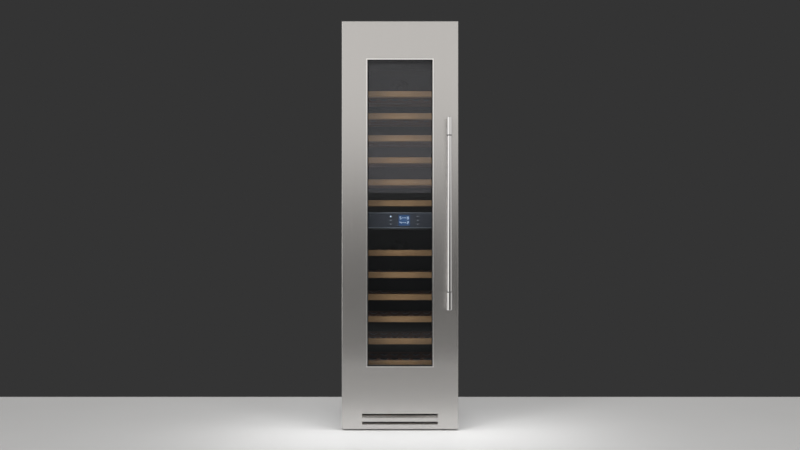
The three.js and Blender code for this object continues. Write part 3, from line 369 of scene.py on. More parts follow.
class Tree:
    """A node tree with short calls: an input that is given a socket is linked, and any other value is set."""

    def __init__(self, tree):
        self.tree = tree

    def add(self, kind, inputs=None, **settings):
        node = self.tree.nodes.new("ShaderNode" + kind)
        for key, value in settings.items():
            setattr(node, key, value)
        for key, value in (inputs or {}).items():
            if isinstance(value, bpy.types.NodeSocket):
                self.tree.links.new(value, node.inputs[key])
            else:
                node.inputs[key].default_value = value
        return node

    def maths(self, operation, a, b=0.0, clamp=False):
        return self.add("Math", {0: a, 1: b}, operation=operation, use_clamp=clamp).outputs[0]

    def blend(self, factor, a, b, kind="MIX"):
        a, b = (c if isinstance(c, bpy.types.NodeSocket) else (*c[:3], 1.0) for c in (a, b))
        inputs = {0: factor, 6: a, 7: b}
        return self.add("Mix", inputs, data_type="RGBA", blend_type=kind).outputs[2]

    def span(self, value, low, high, to_low=0.0, to_high=1.0):
        inputs = {0: value, 1: low, 2: high, 3: to_low, 4: to_high}
        return self.add("MapRange", inputs).outputs[0]

    def place(self):
        return self.add("TexCoord").outputs["Object"]

    def scaled(self, vector, by):
        return self.add("VectorMath", {0: vector, 1: by}, operation="MULTIPLY").outputs[0]

    def noise(self, vector, scale, detail=2.0, distortion=0.0):
        inputs = {"Vector": vector, "Scale": scale, "Detail": detail, "Distortion": distortion}
        return self.add("TexNoise", inputs).outputs[0]

    def group(self, name, inputs):
        """The outputs of a shared effect, whose group is made the first time that it is asked for."""
        if name not in bpy.data.node_groups:
            GROUPS[name](name)
        return self.add("Group", inputs, node_tree=bpy.data.node_groups[name]).outputs

    def dust(self, amount):
        return self.group("Dust", {"Vector": self.place(), "Amount": amount})["Mask"]

    def bump(self, height, strength, distance=0.0005):
        inputs = {"Strength": strength, "Distance": distance, "Height": height}
        return self.add("Bump", inputs).outputs[0]

    def finish(self, inputs):
        """The Principled shader with these inputs, linked to the material's output."""
        shader = self.add("BsdfPrincipled", {
            key: (*value, 1.0) if isinstance(value, tuple) and len(value) == 3 else value
            for key, value in inputs.items()
        })
        self.add("OutputMaterial", {0: shader.outputs[0]})


def new_material(name):
    """An empty material and its node tree."""
    material = bpy.data.materials.new(name)
    material.use_nodes = True
    material.node_tree.nodes.clear()
    return material, Tree(material.node_tree)


def new_group(name, inputs, *outputs):
    """An empty shader group with sockets of the named kinds, and its inner ends."""
    tree = bpy.data.node_groups.new(name, "ShaderNodeTree")
    for label, kind in inputs.items():
        tree.interface.new_socket(label, in_out="INPUT", socket_type="NodeSocket" + kind)
    for label in outputs:
        tree.interface.new_socket(label, in_out="OUTPUT", socket_type="NodeSocketFloat")
    return Tree(tree), tree.nodes.new("NodeGroupInput").outputs


def put_out(t, values):
    """Links a group's results to its output sockets."""
    output = t.tree.nodes.new("NodeGroupOutput")
    for label, value in values.items():
        t.tree.links.new(value, output.inputs[label])


def grain_group(name):
    """Stretched grain: fine streaks and slow drifts along one direction, as in brushed steel and wood."""
    sockets = {"Vector": "Vector", "Stretch": "Vector", "Scale": "Float"}
    t, given = new_group(name, sockets, "Fine", "Broad")
    pulled = t.scaled(given["Vector"], given["Stretch"])
    fine = t.noise(pulled, given["Scale"], 4.0, 0.2)
    broad = t.noise(pulled, t.maths("MULTIPLY", given["Scale"], 0.07), 3.0, 0.4)
    put_out(t, {"Fine": t.span(fine, 0.3, 0.7), "Broad": t.span(broad, 0.3, 0.7)})


def cells_group(name):
    """Crystals or foam cells: a tone for each cell, and a line along their edges."""
    t, given = new_group(name, {"Vector": "Vector", "Scale": "Float"}, "Tone", "Edge")
    inputs = {"Vector": given["Vector"], "Scale": given["Scale"]}
    tone = t.add("SeparateColor", {0: t.add("TexVoronoi", inputs).outputs["Color"]}).outputs[0]
    near = t.add("TexVoronoi", inputs, feature="DISTANCE_TO_EDGE").outputs["Distance"]
    put_out(t, {"Tone": tone, "Edge": t.span(near, 0.0, 0.06, 1.0, 0.0)})


def dust_group(name):
    """Dust that settles on faces that look up, in soft patches."""
    t, given = new_group(name, {"Vector": "Vector", "Amount": "Float"}, "Mask")
    up = t.add("SeparateXYZ", {0: t.add("NewGeometry").outputs["Normal"]}).outputs[2]
    patches = t.noise(given["Vector"], 9.0, 5.0)
    mask = t.maths("MULTIPLY", t.span(up, 0.3, 1.0), t.span(patches, 0.35, 0.7))
    put_out(t, {"Mask": t.maths("MULTIPLY", mask, given["Amount"])})


def moulded_group(name):
    """Moulded or painted skin: a fine even texture, and slow changes of tone."""
    t, given = new_group(name, {"Vector": "Vector", "Scale": "Float"}, "Skin", "Tone")
    tone = t.span(t.noise(given["Vector"], 6.0, 4.0), 0.3, 0.7)
    put_out(t, {"Skin": t.noise(given["Vector"], given["Scale"], 2.0), "Tone": tone})


GROUPS = {"Grain": grain_group, "Cells": cells_group, "Dust": dust_group, "Moulded": moulded_group}


# ---------------------------------------------------------------- finishes

DUST_COLOUR = (0.30, 0.28, 0.25)


def shade(colour, by):
    """A colour made lighter or darker."""
    return tuple(min(1.0, c * by) for c in colour)


def tint(colour):
    """A colour as it is, or the one that the user sets under this name."""
    return tuple(getattr(bpy.context.scene.cooler_colours, colour)) if isinstance(colour, str) else colour


def brushed(t, colour, roughness, stretch, scale, anisotropy):
    """Brushed metal: fine upright lines in tone, roughness and bump, and highlights drawn out across them."""
    grain = t.group("Grain", {"Vector": t.place(), "Stretch": (1.0, 1.0, stretch), "Scale": scale})
    mixed = t.maths("MULTIPLY", t.maths("ADD", grain["Fine"], grain["Broad"]), 0.5)
    base = t.blend(mixed, shade(tint(colour), 0.98), shade(tint(colour), 1.015))
    rough = t.span(grain["Fine"], 0.0, 1.0, roughness - 0.02, roughness + 0.02)
    tangent = t.add("Tangent", direction_type="RADIAL", axis="Z").outputs[0]
    t.finish({"Base Color": base, "Metallic": 1.0, "Roughness": rough, "Anisotropic": anisotropy,
              "Tangent": tangent, "Normal": t.bump(grain["Fine"], 0.03, 0.00005)})


def polished(t, colour):
    """Polished stainless with faint wiping marks."""
    marks = t.group("Moulded", {"Vector": t.place(), "Scale": 400.0})
    rough = t.span(marks["Tone"], 0.0, 1.0, 0.10, 0.18)
    base = t.blend(marks["Tone"], shade(tint(colour), 0.95), tint(colour))
    t.finish({"Base Color": base, "Metallic": 1.0, "Roughness": rough,
              "Normal": t.bump(marks["Skin"], 0.02, 0.00005)})


def skin(t, colour, roughness, scale, bump, dust=0.0, constants=None):
    """Painted or moulded surface: orange peel or grain, slow tone changes, and dust on top."""
    moulded = t.group("Moulded", {"Vector": t.place(), "Scale": scale})
    base = t.blend(moulded["Tone"], shade(tint(colour), 0.88), shade(tint(colour), 1.12))
    rough = t.span(moulded["Tone"], 0.0, 1.0, roughness - 0.05, roughness + 0.05)
    if dust:
        mask = t.dust(dust)
        base = t.blend(mask, base, DUST_COLOUR)
        rough = t.maths("ADD", rough, t.maths("MULTIPLY", mask, 0.3))
    t.finish({"Base Color": base, "Roughness": rough, "Normal": t.bump(moulded["Skin"], bump, 0.0002),
              **(constants or {})})


def galvanised_steel(t):
    """Zinc-coated sheet with its frost-like crystals."""
    cells = t.group("Cells", {"Vector": t.place(), "Scale": 70.0})
    base = t.blend(cells["Tone"], (0.36, 0.37, 0.38), (0.52, 0.53, 0.54))
    rough = t.span(cells["Tone"], 0.0, 1.0, 0.36, 0.52)
    t.finish({"Base Color": t.blend(t.dust(0.35), base, DUST_COLOUR), "Metallic": 0.9, "Roughness": rough,
              "Normal": t.bump(cells["Edge"], 0.05, 0.0001)})


def foam(t):
    """Yellow insulation foam with its cut cells."""
    cells = t.group("Cells", {"Vector": t.place(), "Scale": 380.0})
    base = t.blend(cells["Tone"], (0.62, 0.50, 0.24), (0.74, 0.63, 0.34))
    t.finish({"Base Color": base, "Roughness": t.span(cells["Edge"], 0.0, 1.0, 0.85, 0.97),
              "Normal": t.bump(cells["Edge"], 0.5, 0.0005)})


def oiled_wood(t, light, dark, depth=1.0):
    """Oiled hardwood: long bands along X, fine pores, and a satin surface that is duller in the pores."""
    # depth below 1 darkens the dark bands further: painted shade where the cross bars use it
    light, dark = tint(light), shade(tint(dark), depth)
    pulled = t.group("Grain", {"Vector": t.place(), "Stretch": (0.05, 1.0, 1.0), "Scale": 420.0})
    rings = t.noise(t.scaled(t.place(), (0.6, 9.0, 9.0)), 7.0, 3.0, 1.6)
    band = t.maths("FRACT", t.maths("MULTIPLY", rings, 7.0))
    tone = t.maths("ADD", t.maths("MULTIPLY", pulled["Broad"], 0.6), t.maths("MULTIPLY", band, 0.4))
    wood = t.blend(tone, dark, light)
    pores = t.span(pulled["Fine"], 0.0, 0.35, 1.0, 0.0)
    base = t.blend(t.maths("MULTIPLY", pores, 0.5), wood, shade(dark, 0.55))
    rough = t.span(pulled["Fine"], 0.0, 1.0, 0.58, 0.42)
    t.finish({"Base Color": base, "Roughness": rough, "Normal": t.bump(pulled["Fine"], 0.25, 0.0003)})


def display(t):
    """Blue backlit screen: brighter in the middle, with the fine grid of its dots."""
    screen = middle_of("display_module")
    place = t.place()
    centred = t.add("VectorMath", {0: place, 1: tuple(screen)}, operation="SUBTRACT").outputs[0]
    away = t.add("VectorMath", {0: centred}, operation="LENGTH").outputs["Value"]
    dots = t.add("TexChecker", {"Vector": place, "Scale": 1600.0}).outputs["Fac"]
    glow = t.span(away, 0.0, 0.045, 1.0, 0.35)
    lit = t.maths("MULTIPLY", glow, t.span(dots, 0.0, 1.0, 0.9, 1.0))
    blue = t.blend(lit, (0.004, 0.02, 0.08), tint("screen"))
    t.finish({"Base Color": shade(tint("screen"), 0.2), "Roughness": 0.15,
              "Emission Color": blue, "Emission Strength": 1.0})


def digits(t):
    """Lit figures and marks: near white, with a slight unevenness."""
    glow = t.blend(t.noise(t.place(), 900.0, 1.0), (0.55, 0.75, 1.0), (0.95, 0.98, 1.0))
    t.finish({"Base Color": (0.5, 0.55, 0.6), "Roughness": 0.3, "Emission Color": glow,
              "Emission Strength": 0.85})


def key_marks(t):
    """Printed marks on the keys: pale grey ink."""
    tone = t.noise(t.place(), 1500.0, 2.0)
    base = t.blend(tone, (0.45, 0.47, 0.50), (0.66, 0.68, 0.70))
    t.finish({"Base Color": base, "Roughness": t.span(tone, 0.3, 0.7, 0.4, 0.6)})


def lamp(t):
    """Light strip's lens: frosted, brighter over each diode."""
    across = t.add("SeparateXYZ", {0: t.place()}).outputs[0]
    wave = t.maths("COSINE", t.maths("MULTIPLY", across, 2 * math.pi / 0.02))
    glow = t.blend(t.span(wave, -1.0, 1.0), (0.75, 0.80, 0.88), (1.0, 1.0, 1.0))
    t.finish({"Base Color": (0.06, 0.062, 0.066), "Roughness": 0.4, "Emission Color": glow,
              "Emission Strength": 0.012})


def circuit_board(t):
    """Green board: darker tracks under the lacquer, and pale joints."""
    place = t.place()
    tracks = t.add("TexBrick", {"Vector": place, "Scale": 260.0}).outputs["Fac"]
    cells = t.group("Cells", {"Vector": place, "Scale": 420.0})
    base = t.blend(tracks, (0.012, 0.10, 0.035), (0.02, 0.20, 0.07))
    base = t.blend(t.span(cells["Tone"], 0.92, 0.95), base, (0.55, 0.56, 0.55))
    t.finish({"Base Color": base, "Roughness": t.span(cells["Edge"], 0.0, 1.0, 0.35, 0.55),
              "Normal": t.bump(tracks, 0.2, 0.0001)})


def coil(t):
    """Aluminium fins and tubes, duller where the air has left its dirt."""
    grain = t.group("Grain", {"Vector": t.place(), "Stretch": (1.0, 1.0, 0.05), "Scale": 300.0})
    base = t.blend(grain["Broad"], (0.50, 0.52, 0.54), (0.68, 0.70, 0.72))
    t.finish({"Base Color": t.blend(t.dust(0.6), base, DUST_COLOUR), "Metallic": 0.85,
              "Roughness": t.span(grain["Fine"], 0.0, 1.0, 0.3, 0.48)})


def copper(t):
    """Copper pipe, browner in patches where it was brazed and handled."""
    grain = t.group("Grain", {"Vector": t.place(), "Stretch": (1.0, 1.0, 1.0), "Scale": 160.0})
    base = t.blend(grain["Broad"], (0.55, 0.22, 0.11), (0.80, 0.42, 0.26))
    t.finish({"Base Color": base, "Metallic": 1.0, "Roughness": t.span(grain["Fine"], 0.0, 1.0, 0.24, 0.42),
              "Normal": t.bump(grain["Fine"], 0.04, 0.0001)})


def glass(t):
    """Tinted insulating glass that lets lamps through to what is behind it."""
    pane = t.add("BsdfPrincipled", {"Base Color": (*tint("glass"), 1.0), "Roughness": 0.0, "IOR": 1.25,
                                    "Transmission Weight": 1.0, "Metallic": 0.0})
    clear = t.add("BsdfTransparent", {"Color": (0.86, 0.88, 0.9, 1.0)})
    lamps = t.add("LightPath").outputs["Is Shadow Ray"]
    mixed = t.add("MixShader", {0: lamps, 1: pane.outputs[0], 2: clear.outputs[0]})
    t.add("OutputMaterial", {0: mixed.outputs[0]})


FINISHES = {  # what makes each one, and its values
    "stainless": (brushed, "steel", 0.24, 0.012, 700.0, 0.85),
    "handle_steel": (brushed, "handle", 0.13, 0.02, 900.0, 0.3),
    "polished_trim": (polished, "trim"),
    "shelf_wood": (oiled_wood, "wood_light", "wood_dark"),
    # Painted shade: the cross bars use the shelf wood made much darker, with their dark bands darker still by
    # 0.6, in place of the shade behind the shelf fronts
    "cradle_wood": (oiled_wood, "cradle", "cradle", 0.6),
    "painted_steel": (skin, "casing", 0.42, 1100.0, 0.25, 0.12, {"Metallic": 0.15}),
    "rack_paint": (skin, (0.022, 0.023, 0.025), 0.45, 1400.0, 0.3),
    "liner": (skin, "liner", 0.5, 1500.0, 0.2),
    "door_liner": (skin, (0.045, 0.047, 0.052), 0.42, 1300.0, 0.2),
    "fascia": (skin, "fascia", 0.22, 2000.0, 0.03, 0.0, {"Coat Weight": 0.4}),
    "fascia_edge": (skin, (0.30, 0.32, 0.34), 0.4, 2000.0, 0.03),
    "compressor_enamel": (skin, (0.012, 0.012, 0.014), 0.22, 500.0, 0.2, 0.25, {"Coat Weight": 0.5}),
    "plastic": (skin, (0.035, 0.036, 0.04), 0.5, 1700.0, 0.3, 0.1),
    "key_plastic": (skin, (0.05, 0.058, 0.072), 0.35, 2200.0, 0.1),
    "fan_plastic": (skin, (0.02, 0.02, 0.023), 0.4, 1800.0, 0.15, 0.1),
    "gasket": (skin, (0.016, 0.016, 0.018), 0.65, 2600.0, 0.2),
    "pad": (skin, (0.17, 0.19, 0.23), 0.35, 1800.0, 0.1),
    # Near-black rubber of the window seal; on the handle's groove rings it also serves as painted shade
    "seal": (skin, (0.004, 0.004, 0.005), 0.6, 2600.0, 0.2),
    "foot_plastic": (skin, (0.03, 0.03, 0.032), 0.7, 1500.0, 0.3, 0.2),
}
FINISHES.update({make.__name__: (make,) for make in (
    galvanised_steel, foam, display, digits, key_marks, lamp, circuit_board, coil, copper, glass,
)})


def finish(name):
    """The named finish, made the first time that it is asked for."""
    label = f"{name}_finish"
    if label not in bpy.data.materials:
        make, *values = FINISHES[name]
        make(new_material(label)[1], *values)
    return bpy.data.materials[label]


# ---------------------------------------------------------------- sizes and colours


def length(name, description, default):
    """A size in metres that the user can set."""
    return FloatProperty(name=name, description=description, default=default, min=0.0, unit="LENGTH",
                         subtype="DISTANCE", precision=4)


def colour(name, description, default):
    """A colour that the user can set."""
    return FloatVectorProperty(name=name, description=description, default=default, size=3, min=0.0,
                               max=1.0, subtype="COLOR")


class CoolerSizes(bpy.types.PropertyGroup):
    """Sizes of the details that are added to the frame."""

    skin_fold: length("Door skin fold", "Bend radius of the door skin's edges", 0.0025)
    skin_thickness: length("Door skin", "Thickness of the door's steel sheet", 0.0012)
    slot_fold: length("Air slot fold", "Bend radius round the door's air slots", 0.0018)
    trim_edge: length("Window trim edge", "Bevel of the window frame's edges", 0.0007)
    seal_width: length("Glass seal", "Visible width of the black seal round the glass", 0.0045)
    handle_edge: length("Handle edge", "Rounding of the handle's turned steps", 0.0010)
    shelf_edge: length("Shelf edge", "Rounding of the wooden shelf fronts", 0.0030)
    cradle_depth: length("Cradle depth", "Depth of each bottle cradle", 0.0130)
    cradle_crest: length("Cradle crest", "Flat left between two cradles", 0.0080)
    cradles: IntProperty(name="Cradles", description="Bottle cradles across one shelf", default=8, min=2)
    fascia_line: length("Fascia line", "Height of the bright lines on the control panel", 0.0035)
    key_edge: length("Key edge", "Rounding of the key caps", 0.0008)
    guard_wire: length("Fan guard wire", "Diameter of the fan guards' wire", 0.0020)


class CoolerColours(bpy.types.PropertyGroup):
    """Colours of the finishes."""

    steel: colour("Stainless steel", "Door skin", (0.60, 0.585, 0.57))
    handle: colour("Handle steel", "Handle and its posts", (0.72, 0.71, 0.71))
    trim: colour("Window trim", "Polished frame round the window", (0.93, 0.92, 0.90))
    wood_light: colour("Wood, light", "Light bands of the shelf wood", (0.57, 0.325, 0.145))
    wood_dark: colour("Wood, dark", "Dark bands of the shelf wood", (0.37, 0.195, 0.080))
    # Painted shade: the cradle colour is darker than the boards' wood to stand in for the shade on the bars
    # behind the fronts; it is not a stain
    cradle: colour("Cradle wood", "Stained wood of the shelves' cross bars", (0.18, 0.075, 0.042))
    casing: colour("Casing", "Painted steel casing", (0.035, 0.037, 0.041))
    liner: colour("Liner", "Plastic inside of the cabinet", (0.022, 0.023, 0.026))
    fascia: colour("Control panel", "Slate face of the control panel", (0.050, 0.056, 0.071))
    screen: colour("Screen", "Backlight of the display", (0.036, 0.098, 0.225))
    glass: colour("Glass", "Tint of the two panes", (0.86, 0.88, 0.90))


def sizes():
    """The sizes that the user sets."""
    return bpy.context.scene.cooler_sizes


# ---------------------------------------------------------------- door

SKIN_RETURN = 0.025  # depth of the skin's sides
SKIN_LIP = 0.0005  # from the fold to the line that holds its shading
AIR_SLOTS = ((0.026, 0.013), (0.061, 0.019))  # rise from the door's bottom edge, and height
AIR_SLOT_HALF = 0.1965
AIR_SLOT_DEPTH = 0.012
HINGE_NOTCHES = ((0.080, 0.097), (2.118, 2.130))  # heights of the hinge arms' notches in the skin's edge
TRIM_WIDTH = 0.006
TRIM_SLEEVE = 0.002
GASKET_WIDTH = 0.014
HANDLE_END = 0.092  # from the handle's end to its groove
HANDLE_GROOVE = (0.012, 0.004)  # radius and width
HANDLE_BAR_RADIUS = 0.0135
HANDLE_CHAMFER = 0.0015
# Near-black ring in each handle groove, partly a joint ring and partly painted shade
RING = (-0.001, 0.0009, 0.0002)  # lowest and highest point from the groove's floor, and gap at its sides
RING_EDGE = 0.0004
POST_RADII = (0.013, 0.008)  # foot and stem
POST_FOOT = 0.003
POST_BEVEL = 0.0006


def slot_lining(slot, y, fold, depth, rise, into=1.0):
    """Rounded edge round an air slot that runs back as a short duct, whose lower side climbs by rise.

    The ring's offset is fold (1 - sin t) while its depth is fold (1 - cos t), then the duct runs straight."""
    t = quarter(4)
    offset = np.r_[fold * (1 - np.sin(t)), 0.0, 0.0]
    deep = np.r_[fold * (1 - np.cos(t)), (depth + fold) / 2, depth]
    outlines = slot + offset[:, None] * GROW
    outlines[:, 2] += rise * np.clip((deep - fold) / (depth - fold), 0, 1)
    return nested_rings(outlines, y + into * deep)


def folded_sheet(outline, openings, y, fold, depth, into=1.0, lines_z=()):
    """Flat sheet with openings whose outer edge bends back round a quarter circle and runs on to a depth."""
    flat = outline - fold * GROW
    sheet, xs, zs = pierced_sheet(flat, openings, y, lines_z=lines_z)
    t = quarter(4)
    offset = np.r_[fold * np.sin(t), fold, fold]
    deep = np.r_[fold * (1 - np.cos(t)), 2 * fold + SKIN_LIP, depth]
    rings = nested_rings(flat + offset[:, None] * GROW, y + into * deep,
                         shares_of(xs, *flat[:2]), shares_of(zs, *flat[2:]))
    return gather(sheet, rings)


def make_door_skin():
    """Folded sheet round the window and the air slots, notched where the hinge arms pass."""
    s = sizes()
    low, _ = node_box("door_panel")
    outline, y = face_of("door_panel"), low[1]
    window = face_of("window_trim") - (TRIM_WIDTH - TRIM_SLEEVE - FIT) * GROW
    slots = [np.array([-AIR_SLOT_HALF, AIR_SLOT_HALF, low[2] + rise, low[2] + rise + height])
             for rise, height in AIR_SLOTS]
    openings = [window] + [slot + s.slot_fold * GROW for slot in slots]
    sheet = folded_sheet(outline, openings, y, s.skin_fold, SKIN_RETURN, lines_z=np.ravel(HINGE_NOTCHES))
    notches = [((-1.0, y + 2 * s.skin_fold, z0), (outline[0] + MM, 0.0, z1)) for z0, z1 in HINGE_NOTCHES]
    linings = [slot_lining(slot, y, s.slot_fold, AIR_SLOT_DEPTH, (slot[3] - slot[2]) / 2)
               for slot in slots]
    make_piece("door_skin", gather(without(sheet, notches), *linings), "stainless", "door",
               replaces=["door_panel"], wall=s.skin_thickness)


def make_window():
    """Mitred frame and the black seal inside it; the panes and the inner frame get their finishes."""
    s = sizes()
    low, high = node_box("window_trim")
    window = face_of("window_trim") - TRIM_WIDTH * GROW
    e, w, skin_y = s.trim_edge, TRIM_WIDTH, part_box("door_panel")[0][1] - FIT
    profile = [(0, high[1]), (0, low[1] + e), (0.3 * e, low[1] + 0.3 * e), (e, low[1]), (w - e, low[1]),
               (w - 0.3 * e, low[1] + 0.3 * e), (w, low[1] + e), (w, skin_y), (TRIM_SLEEVE, skin_y),
               (TRIM_SLEEVE, high[1])]
    make_piece("window_frame", framed(window, profile), "polished_trim", "door", replaces=["window_trim"])
    glass_y, b = node_box("outer_glass")[0][1] - FIT / 2, s.seal_width
    seal = [(-FIT, glass_y - 0.0042), (-FIT, glass_y), (-b, glass_y), (-b, glass_y - 0.0006),
            (-0.7 * b, glass_y - 0.0014), (-0.2 * b, glass_y - 0.0038)]
    make_piece("window_seal", framed(window, seal), "seal", "door")
    repaint("glass", "outer_glass", "inner_glass")
    repaint("door_liner", "door_core")


def make_gasket():
    """Magnetic gasket: a foot in the door, two waists and a flat magnet face against the cabinet."""
    low, high = node_box("door_gasket")
    y0, y1 = low[1], high[1]
    half = [(-0.001, y0), (-0.001, y0 + 0.0014), (-0.003, y0 + 0.0018), (-0.0038, y0 + 0.0030),
            (-0.0026, y0 + 0.0042), (-0.0022, y1 - 0.0006), (-0.0028, y1)]
    profile = half + [(-GASKET_WIDTH - offset, y) for offset, y in reversed(half)]
    make_piece("gasket", framed(face_of("door_gasket"), profile), "gasket", "door", replaces=["door_gasket"])


def make_handle():
    """Tube with thicker ends past two grooves, near-black rings in the grooves that are partly joint rings
    and partly painted shade, and two posts.
    """
    low, high = node_box("handle_bar")
    x, y, _ = (low + high) / 2
    end, bar = (high[0] - low[0]) / 2, HANDLE_BAR_RADIUS
    groove, width = HANDLE_GROOVE
    a, d = low[2] + HANDLE_END, high[2] - HANDLE_END
    b, c = a + width, d - width
    steps = [(0, low[2]), (end - HANDLE_CHAMFER, low[2]), (end, low[2] + HANDLE_CHAMFER), (end, a),
             (groove, a), (groove, b), (bar, b), (bar, c), (groove, c), (groove, d), (end, d),
             (end, high[2] - HANDLE_CHAMFER), (end - HANDLE_CHAMFER, high[2]), (0, high[2])]
    make_piece("handle", turned(softened(steps, sizes().handle_edge), (x, y, 0), sides=64), "handle_steel",
               "door", replaces=["handle_bar"])
    # Painted shade: near-black rings fill the grooves so that they read as dark as the shade and the posts'
    # shadow there; they also stand for the joints between the tube and its ends
    inside, outside, gap = groove + RING[0], groove + RING[1], RING[2]
    section = [(inside, gap), (outside, gap), (outside, width - gap), (inside, width - gap)]
    rings = [turned(softened(section, RING_EDGE) + [0, z], (x, y, 0)) for z in (a, c)]
    make_piece("handle_rings", gather(*rings), "seal", "door")
    for post in ("upper", "lower"):
        node = f"handle_post_{post}"
        surface = saddled_post(middle_of(node), node_box(node)[1][1], y, end)
        make_piece(f"post_{post}", surface, "handle_steel", "door", replaces=[node])


def saddled_post(middle, foot_y, bar_y, bar_radius, sides=40):
    """Round post along Y from a flared foot to a bar that stands upright.

    The last ring follows the bar: y = bar_y + sqrt(R R - x x), with x = r cos a."""
    foot, stem = POST_RADII
    t = quarter(4)
    fillet = stem + (foot - stem) * (1 - np.sin(t)) * 0.55
    radii = np.r_[foot - POST_BEVEL, foot, foot, foot - POST_BEVEL, fillet, stem]
    out = np.r_[0.0, POST_BEVEL, POST_FOOT - POST_BEVEL, POST_FOOT,
                POST_FOOT + 0.004 * (1 - np.cos(t)) + 0.0001, POST_FOOT + 0.008]
    x, z = radii[:, None] * circle(sides).T[:, None]
    y = np.broadcast_to((foot_y - out)[:, None], x.shape)
    reach = np.sqrt((bar_radius + FIT) ** 2 - x[-1] ** 2)
    rings = np.concatenate([np.stack([x, y, z], -1), np.stack([x[-1], bar_y + reach, z[-1]], -1)[None]])
    return loft(rings + np.array([middle[0], 0, middle[2]]), caps=True)


# ---------------------------------------------------------------- shelves

BOARD = (0.018, 0.016)  # front board's thickness and half height
CRADLE_BARS = (0.095, 0.265)  # fronts of the cross bars, behind the board's face
BAR_THICKNESS = 0.016
BAR_BOTTOM = -0.012  # from the board's middle
REAR_BAR = (0.006, 0.004)  # thickness, and top above the board's middle
PAD_THICKNESS = 0.0012
PAD_SHARE = 0.72  # of a cradle's arc
RUNNER = (0.0060, 0.016)  # width and height of a side runner
RUNNER_SHEET = 0.0012
RUNNER_OUTER = 0.244


def cradle_arcs(half):
    """Middles, radius and half angle of the cradles across a bar.

    With half a chord c = (pitch - crest) / 2 and a depth d, the radius is (c c + d d) / 2 d."""
    s = sizes()
    pitch, depth = 2 * half / s.cradles, s.cradle_depth
    chord = (pitch - s.cradle_crest) / 2
    radius = (chord**2 + depth**2) / (2 * depth)
    return half - (np.arange(s.cradles) + 0.5) * pitch, radius, math.asin(chord / radius)


def cradle_outline(half, z, top):
    """Cross bar seen from the front: circular cradles hang between flat crests of the top edge."""
    middles, radius, sweep = cradle_arcs(half)
    turn = np.linspace(sweep, -sweep, 11)
    x = middles[:, None] + radius * np.sin(turn)
    drop = sizes().cradle_depth - radius * (1 - np.cos(turn))
    arc = np.stack([x, np.broadcast_to(z + top - drop, x.shape)], -1).reshape(-1, 2)
    ends = np.array([[-half, z + BAR_BOTTOM], [half, z + BAR_BOTTOM], [half, z + top]])
    return np.concatenate([ends, arc, [[-half, z + top]]])


def pad_outlines(half, z, top):
    """Soft pads in the cradles, seen from the front: the middle of each arc, thickened upwards."""
    middles, radius, sweep = cradle_arcs(half)
    turn = PAD_SHARE * np.linspace(-sweep, sweep, 9)
    centre = top - sizes().cradle_depth + radius
    arcs = [np.stack([r * np.sin(turn), centre + gap - r * np.cos(turn)], -1)
            for r, gap in ((radius, FIT / 3), (radius - PAD_THICKNESS, 0.0))]
    outline = np.concatenate([arcs[0], arcs[1][::-1]])
    return [outline + np.array([x, z]) for x in middles]


def runner_outline(side, z):
    """Channel open to the outside, drawn in X and Z."""
    width, height = RUNNER
    s = RUNNER_SHEET
    u = np.array([0, width, width, s, s, width, width, 0])
    v = np.array([0, 0, s, s, height - s, height - s, height, height])
    return np.stack([side * (RUNNER_OUTER - width + u), z + BAR_BOTTOM + v], -1)


def make_shelf(node):
    """Front board, cross bars with their pads, rear bar and side runners."""
    low, high = node_box(node)
    y, z = low[1], (low[2] + high[2]) / 2
    thickness, half_height = BOARD
    inner, top = RUNNER_OUTER - RUNNER[0], half_height - MM
    board = soft_block((low[0], y, z - half_height), (high[0], y + thickness, z + half_height),
                       sizes().shelf_edge, axis=0, steps=3)
    make_piece(f"{node}_board", board, "shelf_wood", node, replaces=[node])
    places = [(y + front, y + front + BAR_THICKNESS) for front in CRADLE_BARS]
    bars = [soft_slab(cradle_outline(inner, z, top), front, back, 0.0012) for front, back in places]
    rear = soft_block((-inner, high[1] - REAR_BAR[0], z + BAR_BOTTOM), (inner, high[1] - MM, z + REAR_BAR[1]),
                      0.001, axis=0)
    # Painted shade: the bars' finish is the shelf wood darkened in place of the shade behind the boards
    make_piece(f"{node}_cradles", gather(*bars, rear), "cradle_wood", node)
    pads = [soft_slabs(pad_outlines(inner, z, top), front + MM, back - MM, 0.0003) for front, back in places]
    make_piece(f"{node}_pads", gather(*pads), "pad", node)
    runners = soft_slabs([runner_outline(side, z) for side in (-1, 1)], y + thickness, high[1], 0.0002)
    make_piece(f"{node}_runners", runners, "rack_paint", node)


def make_shelves():
    """The same shelf at every level of both zones."""
    for zone in ZONES:
        for level in SHELVES:
            make_shelf(f"{zone}_shelf_{level}")


# ---------------------------------------------------------------- control panel

FASCIA_SHEET = 0.0008
BEZEL = (0.0006, 0.002)  # fold and depth of the screen opening's edge
SCREEN_HALF = (0.030, 0.0285)
SCREEN_DEPTH = 0.011
KEY_HALF = (0.011, 0.005)
KEY_RIM = 0.0018
KEY_CAP = 0.004
MARK_GAP = 0.00002
READINGS = ((0.0066, "58"), (-0.0184, "42"))  # rise from the screen's middle, and its two figures
FIGURE_STARTS = (-0.0235, 0.0150)
DASH_STARTS = (-0.0095, 0.0015)
SEGMENTS = {  # a figure's bars: top, upper right, lower right, bottom, lower left, upper left, middle
    "2": "1101101", "4": "0110011", "5": "1011011", "8": "1111111",
}


